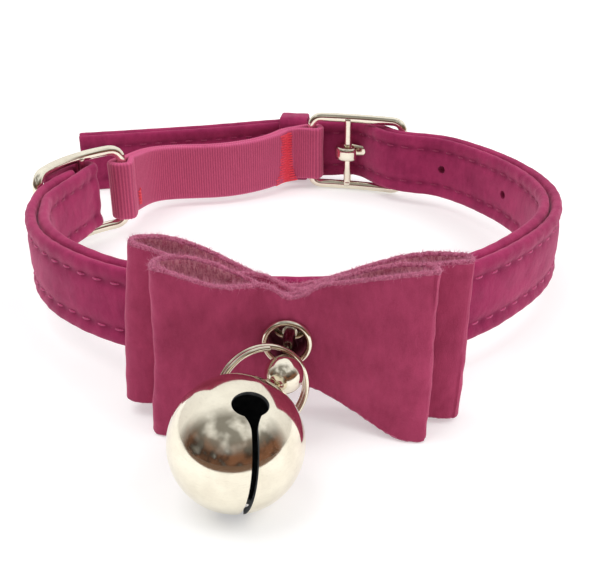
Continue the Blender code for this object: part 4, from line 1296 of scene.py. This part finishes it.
# %% Turned pieces along the bow's axis
def turned(profile, centre, steps=96):
    """Point = centre + (r cos a, -h, r sin a) for each (r, h) of a closed profile and each angle a."""
    angle = np.arange(steps) * 2 * math.pi / steps
    radius, height = np.asarray(profile, float).T
    points = np.stack([radius[None] * np.cos(angle)[:, None],
                       np.broadcast_to(-height, (steps, len(height))),
                       radius[None] * np.sin(angle)[:, None]], -1) + np.asarray(centre)
    return facing_out((points.reshape(-1, 3), [quads(steps, len(radius), close_rows=True)]))


def arc(centre, radius, first, last, count):
    """Points of a circle's arc from one angle to another, in degrees."""
    angle = np.radians(np.linspace(first, last, count))
    return np.stack([centre[0] + radius * np.cos(angle), centre[1] + radius * np.sin(angle)], -1)


# %% Wire frames
bar_size, weld_swell, weld_reach = 0.92, 0.30, 0.0007


def frame_part(place, heading, bow, mirror):
    """A rounded rectangle of wire, bowed outward by bow * (1 - t^2) along its length. Its bar swells a little
    where it is welded to the wire, by exp(-t^2)."""
    half_height = frame_half_height - wire_radius
    outline = evenly_round(rounded_outline(frame_length, 2 * half_height, frame_corner, 12), 200)

    def at(along, up):
        """A place on the bowed frame, from its middle."""
        point = local(place, heading, along, bow * (1 - (along / half_frame) ** 2))
        return (point[0], point[1], frame_middle(place) + up)

    path = np.array([at(along, up) for along, up in outline])
    rise = np.linspace(-half_height, half_height, 25)
    crossing = np.array([at(mirror * bar_reach, up) for up in rise])
    swell = bar_size + weld_swell * np.exp(-((half_height - np.abs(rise)) / weld_reach) ** 2)
    ahead = np.array([math.cos(heading), math.sin(heading), 0.0])
    out = np.array([ahead[1], -ahead[0], 0.0])
    sections = round_section(wire_radius, 20)[None] * swell[:, None, None]
    bar = facing_out(swept(crossing, sections, all_along(crossing, ahead), all_along(crossing, out)))
    return join_parts([tube(path, wire_radius, 24, closed=True), bar])


slide = new_piece("slide_frame", *placed(frame_part(slide_place, slide_heading, slide_bow, -1)),
                  [nickel], "nickel")
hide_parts("slide")
buckle = new_piece("buckle_wire_frame", *placed(frame_part(buckle_place, buckle_heading, buckle_bow, 1)),
                   [nickel], "nickel")
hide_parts("buckle_frame")

# %% Prong
coil_tall, tongue_narrowing, tongue_thick, tongue_square = 1.62, 0.55, 0.94, 0.86
narrowing_from, narrowing_reach, tip_reach, start_reach = 0.40, 0.25, 0.05, 0.02


def prong_part():
    """A stamped tongue: a squared oval section, tall at the coil and narrowing to a round tip. The section's
    sizes are shares of the prong's radius, and each reach is a share of its length."""
    path = evenly(natural_spline(tongue, 600), 140)
    up = all_along(path, upright)
    side = unit(np.cross(directions(path), up))
    share = np.linspace(0, 1, len(path))
    near_tip = np.clip((1 - share) / tip_reach, 0, 1)
    tip = np.sqrt(np.clip(1 - (1 - near_tip) ** 2, 0.02, 1))
    near_start = np.sqrt(np.clip(1 - (1 - np.clip(share / start_reach, 0, 1)) ** 2, 0.3, 1))
    narrowed = np.clip((share - narrowing_from) / narrowing_reach, 0, 1)
    tall = (coil_tall - tongue_narrowing * narrowed) * tip * near_start
    thick = tongue_thick * tip * near_start
    circle = round_section(prong_radius, 24)
    square = circle / np.maximum(np.abs(circle).max(-1, keepdims=True) / prong_radius, tongue_square)
    sections = square[None] * np.stack([thick, tall], -1)[:, None]
    return facing_out(swept(path, sections, side, up))


prong = new_piece("buckle_tongue", *placed(prong_part()), [nickel], "nickel")
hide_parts("buckle_prong")

# %% Eyelet
bore, lip, rim = eyelet_bore / 2, eyelet_lip, eyelet_flange / 2
outer, rim_edge, lip_end = bore + eyelet_wall, rim - 0.0001, 0.0004
depth = (back_flange - front_cloth) + ply_gap + lip
roll = (rim - bore) / 2
lip_angle = np.radians(np.linspace(0, 180, 17))
front_lip = np.stack([bore + roll + roll * np.cos(lip_angle),
                      depth - lip + 1.15 * lip * np.sin(lip_angle)], -1)
back_lip = np.stack([bore + roll - roll * np.cos(lip_angle), lip - lip * np.sin(lip_angle)], -1)
tube_wall = np.array([(bore, depth - lip - lip_end), (bore, depth * 0.5), (bore, lip + lip_end)])
outer_wall = np.array([(rim_edge, lip), (outer, lip), (outer, depth * 0.5), (outer, depth - lip),
                       (rim_edge, depth - lip)])
eyelet_profile = np.vstack([front_lip, tube_wall, back_lip, outer_wall])
eyelet_centre = (stud_across, back_flange, eyelet_height)
eyelet = new_piece("rolled_eyelet", *placed(turned(eyelet_profile, eyelet_centre)),
                   [nickel, eyelet_bore_painted_reflection], "nickel")


def paint_bore_reflection(piece, centre, radius):
    """Give the piece's second material to the faces with their middle within a radius of the bore's axis."""
    middles = np.empty(len(piece.data.polygons) * 3)
    piece.data.polygons.foreach_get("center", middles)
    middles = middles.reshape(-1, 3) - centre
    near = np.hypot(middles[:, 0], middles[:, 2]) < radius
    piece.data.polygons.foreach_set("material_index", near.astype(np.int32))


# The bore's faces get the maroon of the painted cloth reflection.
bore_margin = 0.00004
paint_bore_reflection(eyelet, np.array(eyelet_centre) + drawing_origin, bore + bore_margin)
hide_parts("eyelet")

# %% Ball stud
ball, neck, shank = 0.0050 / 2, neck_diameter / 2, 0.0022 / 2
base, disc = 0.0052 / 2, 0.0070 / 2
neck_length = 0.0028
fillet, rounding = 0.0003, 0.0002
face_front = back_flange - depth
ball_centre = face_front - neck_length - math.sqrt(ball ** 2 - neck ** 2)
stud_start = stud_middle + strap_thickness / 2 + seat_gap + back_disc_thickness
ball_at = stud_start - ball_centre
meet = math.degrees(math.asin(neck / ball))
base_at = stud_start - (strap_front - seat_gap)
base_front = base_at + base_thickness
stud_profile = np.vstack([arc((0.0, ball_at), ball, 89.5, -90 + meet + 6, 40), [
    (neck + fillet, ball_at - ball * math.cos(math.radians(meet)) - rounding),
    (neck, ball_at - ball - rounding),
    (neck, base_front + fillet),
    (neck + fillet, base_front),
    (base - rounding, base_front),
    (base, base_front - rounding),
    (base, base_at + rounding / 2),
    (base - rounding / 2, base_at),
    (shank, base_at),
    (shank, back_disc_thickness),
    (disc - rounding, back_disc_thickness),
    (disc, 0.00065),
    (disc, 0.00035),
    (disc * 0.93, 0.0001),
    (disc * 0.8, 0.0),
    (0.00002, 0.0)]])
stud = new_piece("ball_stud", *placed(turned(stud_profile, (stud_across, stud_start, stud_height))),
                 [nickel], "nickel")
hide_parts("stud")

# %% Split ring
ring_radius, ring_wire, ring_turns, ring_hang = 0.0058, 0.00036, 1.9, (-0.0027, -0.0023, -0.0028)
ring_start = math.radians(60)
ring_spin = np.array(Matrix.Rotation(math.radians(22), 3, "Z") @ Matrix.Rotation(math.radians(-10), 3, "X"))
neck_at = np.array([stud_across, face_front - neck_length + ring_wire * 2, stud_height])
ring_centre = neck_at + np.array(ring_hang)


def ring_part():
    """Helix: centre + radius * (cos a, sin a) in the ring's plane, rising by one wire and a gap each turn."""
    share = np.linspace(-0.5, 0.5, 420)[:, None]
    angle = 2 * math.pi * ring_turns * share + ring_start
    flat = ring_radius * (np.cos(angle) * ring_spin[:, 0] + np.sin(angle) * ring_spin[:, 2])
    path = ring_centre + flat + ring_spin[:, 1] * (2 * ring_wire + ply_gap) * ring_turns * share
    return tube(path, ring_wire, 16, end_round=0.0001)


ring = new_piece("ring_coil", *placed(ring_part()), [nickel], "nickel")
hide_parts("split_ring")

# %% [markdown]
# ## The bell
#
# The bell is a pressed hollow ball with a slot between two round holes, and a wire
# loop at its back. A fine ball is hollowed and slotted with exact booleans; its holes'
# rims are then real edges, and the pellet can be glimpsed inside.

# %% Bell
bell_radius, bell_wall, bell_slot, keyhole = 0.0082, 0.0006, 0.0008, 0.0044
slot_half_angle = math.radians(66)
keyhole_shift, funnel_reach, funnel_power = 0.0005, 0.72, 1.7
loop_radius, loop_wire, loop_seat = 0.0016, 0.00045, 0.62
pellet_radius = 0.0022
pellet_low, pellet_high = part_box("bell_pellet")
bell_centre = np.array([(pellet_low.x + pellet_high.x) / 2, (pellet_low.y + pellet_high.y) / 2,
                        bell_radius + drawing_origin[2]])
bell_spin = np.array(Matrix.Rotation(math.radians(20), 3, "Z") @ Matrix.Rotation(math.radians(3), 3, "X")
                     @ Matrix.Rotation(math.radians(9), 3, "Y"))


def ball_part(radius, columns, rows):
    """Sphere with its poles on the bell's own y axis: radius * (sin t cos a, cos t, sin t sin a), closed by a
    fan at each pole."""
    fall = np.linspace(0, math.pi, rows + 1)[1:-1, None]
    angle = np.linspace(0, 2 * math.pi, columns, endpoint=False)[None]
    points = radius * np.stack([np.sin(fall) * np.cos(angle), np.cos(fall) + 0 * angle,
                                np.sin(fall) * np.sin(angle)], -1)
    points = np.vstack([points.reshape(-1, 3), [(0, radius, 0), (0, -radius, 0)]])
    here = np.arange(columns)
    after = (here + 1) % columns
    last = (rows - 2) * columns
    top = np.full(columns, len(points) - 2)
    fans = [np.stack([top, after, here], -1), np.stack([top + 1, last + here, last + after], -1)]
    return facing_out((points, [quads(rows - 1, columns), *fans]))


def in_bell(part):
    """A part in the bell's own frame, turned and moved to where the bell is."""
    points, faces = part
    return points @ bell_spin.T + bell_centre, faces


def slot_part():
    """A long thin box, upright before the bell's middle: the slot's blade."""
    chord = bell_radius * math.sin(slot_half_angle)
    low, high = -bell_radius * 1.05, -bell_radius * math.cos(slot_half_angle) * 0.5
    half = bell_slot / 2
    corners = np.array([(x, y, z) for x in (-half, half) for y in (low, high) for z in (-chord, chord)])
    sides = np.array([(0, 1, 3, 2), (4, 6, 7, 5), (0, 4, 5, 1), (2, 3, 7, 6), (0, 2, 6, 4), (1, 5, 7, 3)])
    return facing_out((corners, [sides]))


def keyhole_part(side):
    """An oval rod at the slot's end, and a funnel into the slot, with a half width of
    slot / 2 + (hole - slot) / 2 * (1 - v)^power."""
    sides = all_along(np.arange(15), (1.0, 0.0, 0.0))
    way = np.array([0.0, -math.cos(slot_half_angle), side * math.sin(slot_half_angle)])
    along = np.array([0.0, -math.sin(slot_half_angle), -side * math.cos(slot_half_angle)])
    share = np.linspace(0.0, 1.0, len(sides))
    half = bell_slot / 2 + (keyhole - bell_slot) / 2 * (1 - share) ** funnel_power
    path = way * bell_radius * 0.9 + along * (share * keyhole * funnel_reach - keyhole_shift)[:, None]
    corners = np.array([(-1.0, -1.0), (1.0, -1.0), (1.0, 1.0), (-1.0, 1.0)])
    sections = corners[None] * np.stack([half, np.full(len(path), bell_radius * 0.3)], -1)[:, None]
    funnel = swept(path, sections, sides, all_along(path, way))
    angle = np.linspace(0, 2 * math.pi, 48, endpoint=False)
    ellipse = np.stack([keyhole / 2 * np.cos(angle), (keyhole / 2 - keyhole_shift) * np.sin(angle)], -1)
    ends = way * bell_radius * np.array([[0.6], [1.2]]) - along * keyhole_shift
    hole = swept(ends, ellipse, sides[:2], all_along(ends, along))
    return facing_out(hole), facing_out(funnel)


bell = new_piece("pressed_bell", *in_bell(ball_part(bell_radius, 168, 96)),
                 [bell_nickel, bell_inside_painted_shade], "nickel")
for cutter in (ball_part(bell_radius - bell_wall, 96, 48), slot_part(), *keyhole_part(1), *keyhole_part(-1)):
    pierce(bell, [in_bell(cutter)], math.radians(35), zone=1)
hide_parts("bell")

# %% The bell's loop and pellet
loop_section = round_section(loop_radius, 64)
loop_path = np.column_stack([loop_section[:, 0], bell_radius + loop_radius * loop_seat + loop_section[:, 1],
                             0 * loop_section[:, 0]])
new_piece("bell_loop", *in_bell(tube(loop_path, loop_wire, 16, closed=True)), [bell_nickel], "nickel")
pellet_points, pellet_faces = ball_part(pellet_radius, 40, 24)
pellet_centre = np.array((pellet_low + pellet_high) / 2)
pellet = new_piece("loose_pellet", pellet_points + pellet_centre, pellet_faces, [bell_inside_painted_shade], "nickel")
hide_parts("bell_pellet")

# %% [markdown]
# ## Room and light
#
# A white floor and a bright, even room give the soft studio light of a product picture.
# The floor glows a little, so that it stays white. Polished metal needs something dark
# to mirror, or it looks like plaster. So the room's front has a grey veil and a dark
# brown patch low down, and a brown card lies on the floor before the bow. The card
# is seen in mirrors alone, and the camera sees a plain white room.

# %% Floor
floor_half = 1.6
card_half, card_edge, card_height = 1.3, -0.106, 0.0006
floor_finish = Finish(bpy.data.materials.new("pale_floor"), {
    "Roughness": 0.65, "Specular IOR Level": 0.1,
    "Emission Color": tone(255, 255, 255), "Emission Strength": 0.42})
floor_finish.paint("Base Color", floor_finish.blend(
    floor_finish.noise(40.0, 2.0).sharpen(0.3, 0.7), tone(212, 213, 213), tone(220, 220, 220)))


def flat_sheet(name, low, high, height, material):
    """A level rectangle between two corners in plan."""
    mesh = bpy.data.meshes.new(name)
    mesh.from_pydata([(low[0], low[1], height), (high[0], low[1], height),
                      (high[0], high[1], height), (low[0], high[1], height)], [], [(0, 1, 2, 3)])
    mesh.materials.append(material)
    sheet = bpy.data.objects.new(name, mesh)
    bpy.context.scene.collection.objects.link(sheet)
    return sheet


flat_sheet("floor", (-floor_half, -floor_half), (floor_half, floor_half), 0.0, floor_finish.owner)
card_finish = Finish(bpy.data.materials.new("brown_card"), {
    "Base Color": tone(104, 76, 58), "Roughness": 0.8})
card = flat_sheet("table_edge_card", (-card_half, -floor_half), (card_half, card_edge), card_height,
                  card_finish.owner)
card.visible_camera = False
card.visible_diffuse = False
card.visible_shadow = False

# %% Room
room_strength = 1.12
world = bpy.data.worlds.new("room")
bpy.context.scene.world = world
room = Finish(world)
backing = room.tree.nodes["Background"]
way = room.node("ShaderNodeTexCoord", output="Generated")
ahead = room.node("ShaderNodeSeparateXYZ", {}, {0: way}, output=1)
rise = room.node("ShaderNodeSeparateXYZ", {}, {0: way}, output=2)
blotch = room.node("ShaderNodeTexNoise", {}, {"Vector": way, "Scale": 3.2, "Detail": 3.0})
front = (0.0 - ahead).sharpen(-0.25, 0.20)
low_band = 1.0 - rise.sharpen(0.26, 0.66)
patch = (front * low_band) * (blotch + 0.55).sharpen(0.70, 0.98)
veil = room.node("ShaderNodeTexNoise", {}, {"Vector": way, "Scale": 2.1, "Detail": 2.0}).sharpen(0.32, 0.56)
sky = room.blend(rise.sharpen(-0.1, 0.9), tone(232, 229, 228), tone(255, 255, 255))
sky = room.blend(front * veil * 0.95, sky, tone(128, 125, 119))
browns = room.blend(blotch.sharpen(0.40, 0.60), tone(44, 40, 37), tone(126, 88, 68))
sky = room.blend(patch, sky, browns)
room.connect(sky, backing.inputs["Color"])
backing.inputs["Strength"].default_value = room_strength
plain = room.node("ShaderNodeBackground", {}, {"Color": tone(252, 251, 251), "Strength": 1.0})
seen = room.node("ShaderNodeLightPath", output="Is Camera Ray")
mixed = room.node("ShaderNodeMixShader", {}, {0: seen, 1: Field(room, backing.outputs[0]), 2: plain})
room.connect(mixed, room.tree.nodes["World Output"].inputs["Surface"])


# %% Soft lamps
def soft_lamp(name, place, aim, size, power):
    """A square area lamp that faces a point."""
    data = bpy.data.lights.new(name, "AREA")
    data.size = size
    data.energy = power
    lamp = bpy.data.objects.new(name, data)
    bpy.context.scene.collection.objects.link(lamp)
    lamp.location = place
    lamp.visible_glossy = False
    lamp.rotation_euler = (Vector(aim) - Vector(place)).to_track_quat("-Z", "Y").to_euler()
    return lamp


collar_middle, lamp_power = (0.0, 0.0, 0.01), 1.3
soft_lamp("window", (-0.20, -0.10, 0.55), collar_middle, 0.35, lamp_power)
soft_lamp("fill", (0.42, -0.12, 0.40), collar_middle, 0.40, lamp_power)
scene = bpy.context.scene
scene.view_settings.view_transform = "Standard"
scene.view_settings.look = "None"

# %% [markdown]
# ## The soft pieces' flat sizes
#
# The bow's loops are bands of cloth and the elastic is a band of webbing, each with
# the size it had flat, and these sizes are printed below. The two velvet strips are
# padded. The keeper's band is narrower than a centimetre, so it counts as trim.

# %% Flat sizes
print("flat elastic", round(elastic_length, 4), "back loop", round(back_length, 4), round(back_area, 6),
      "front loop", round(front_length, 4), round(front_area, 6))
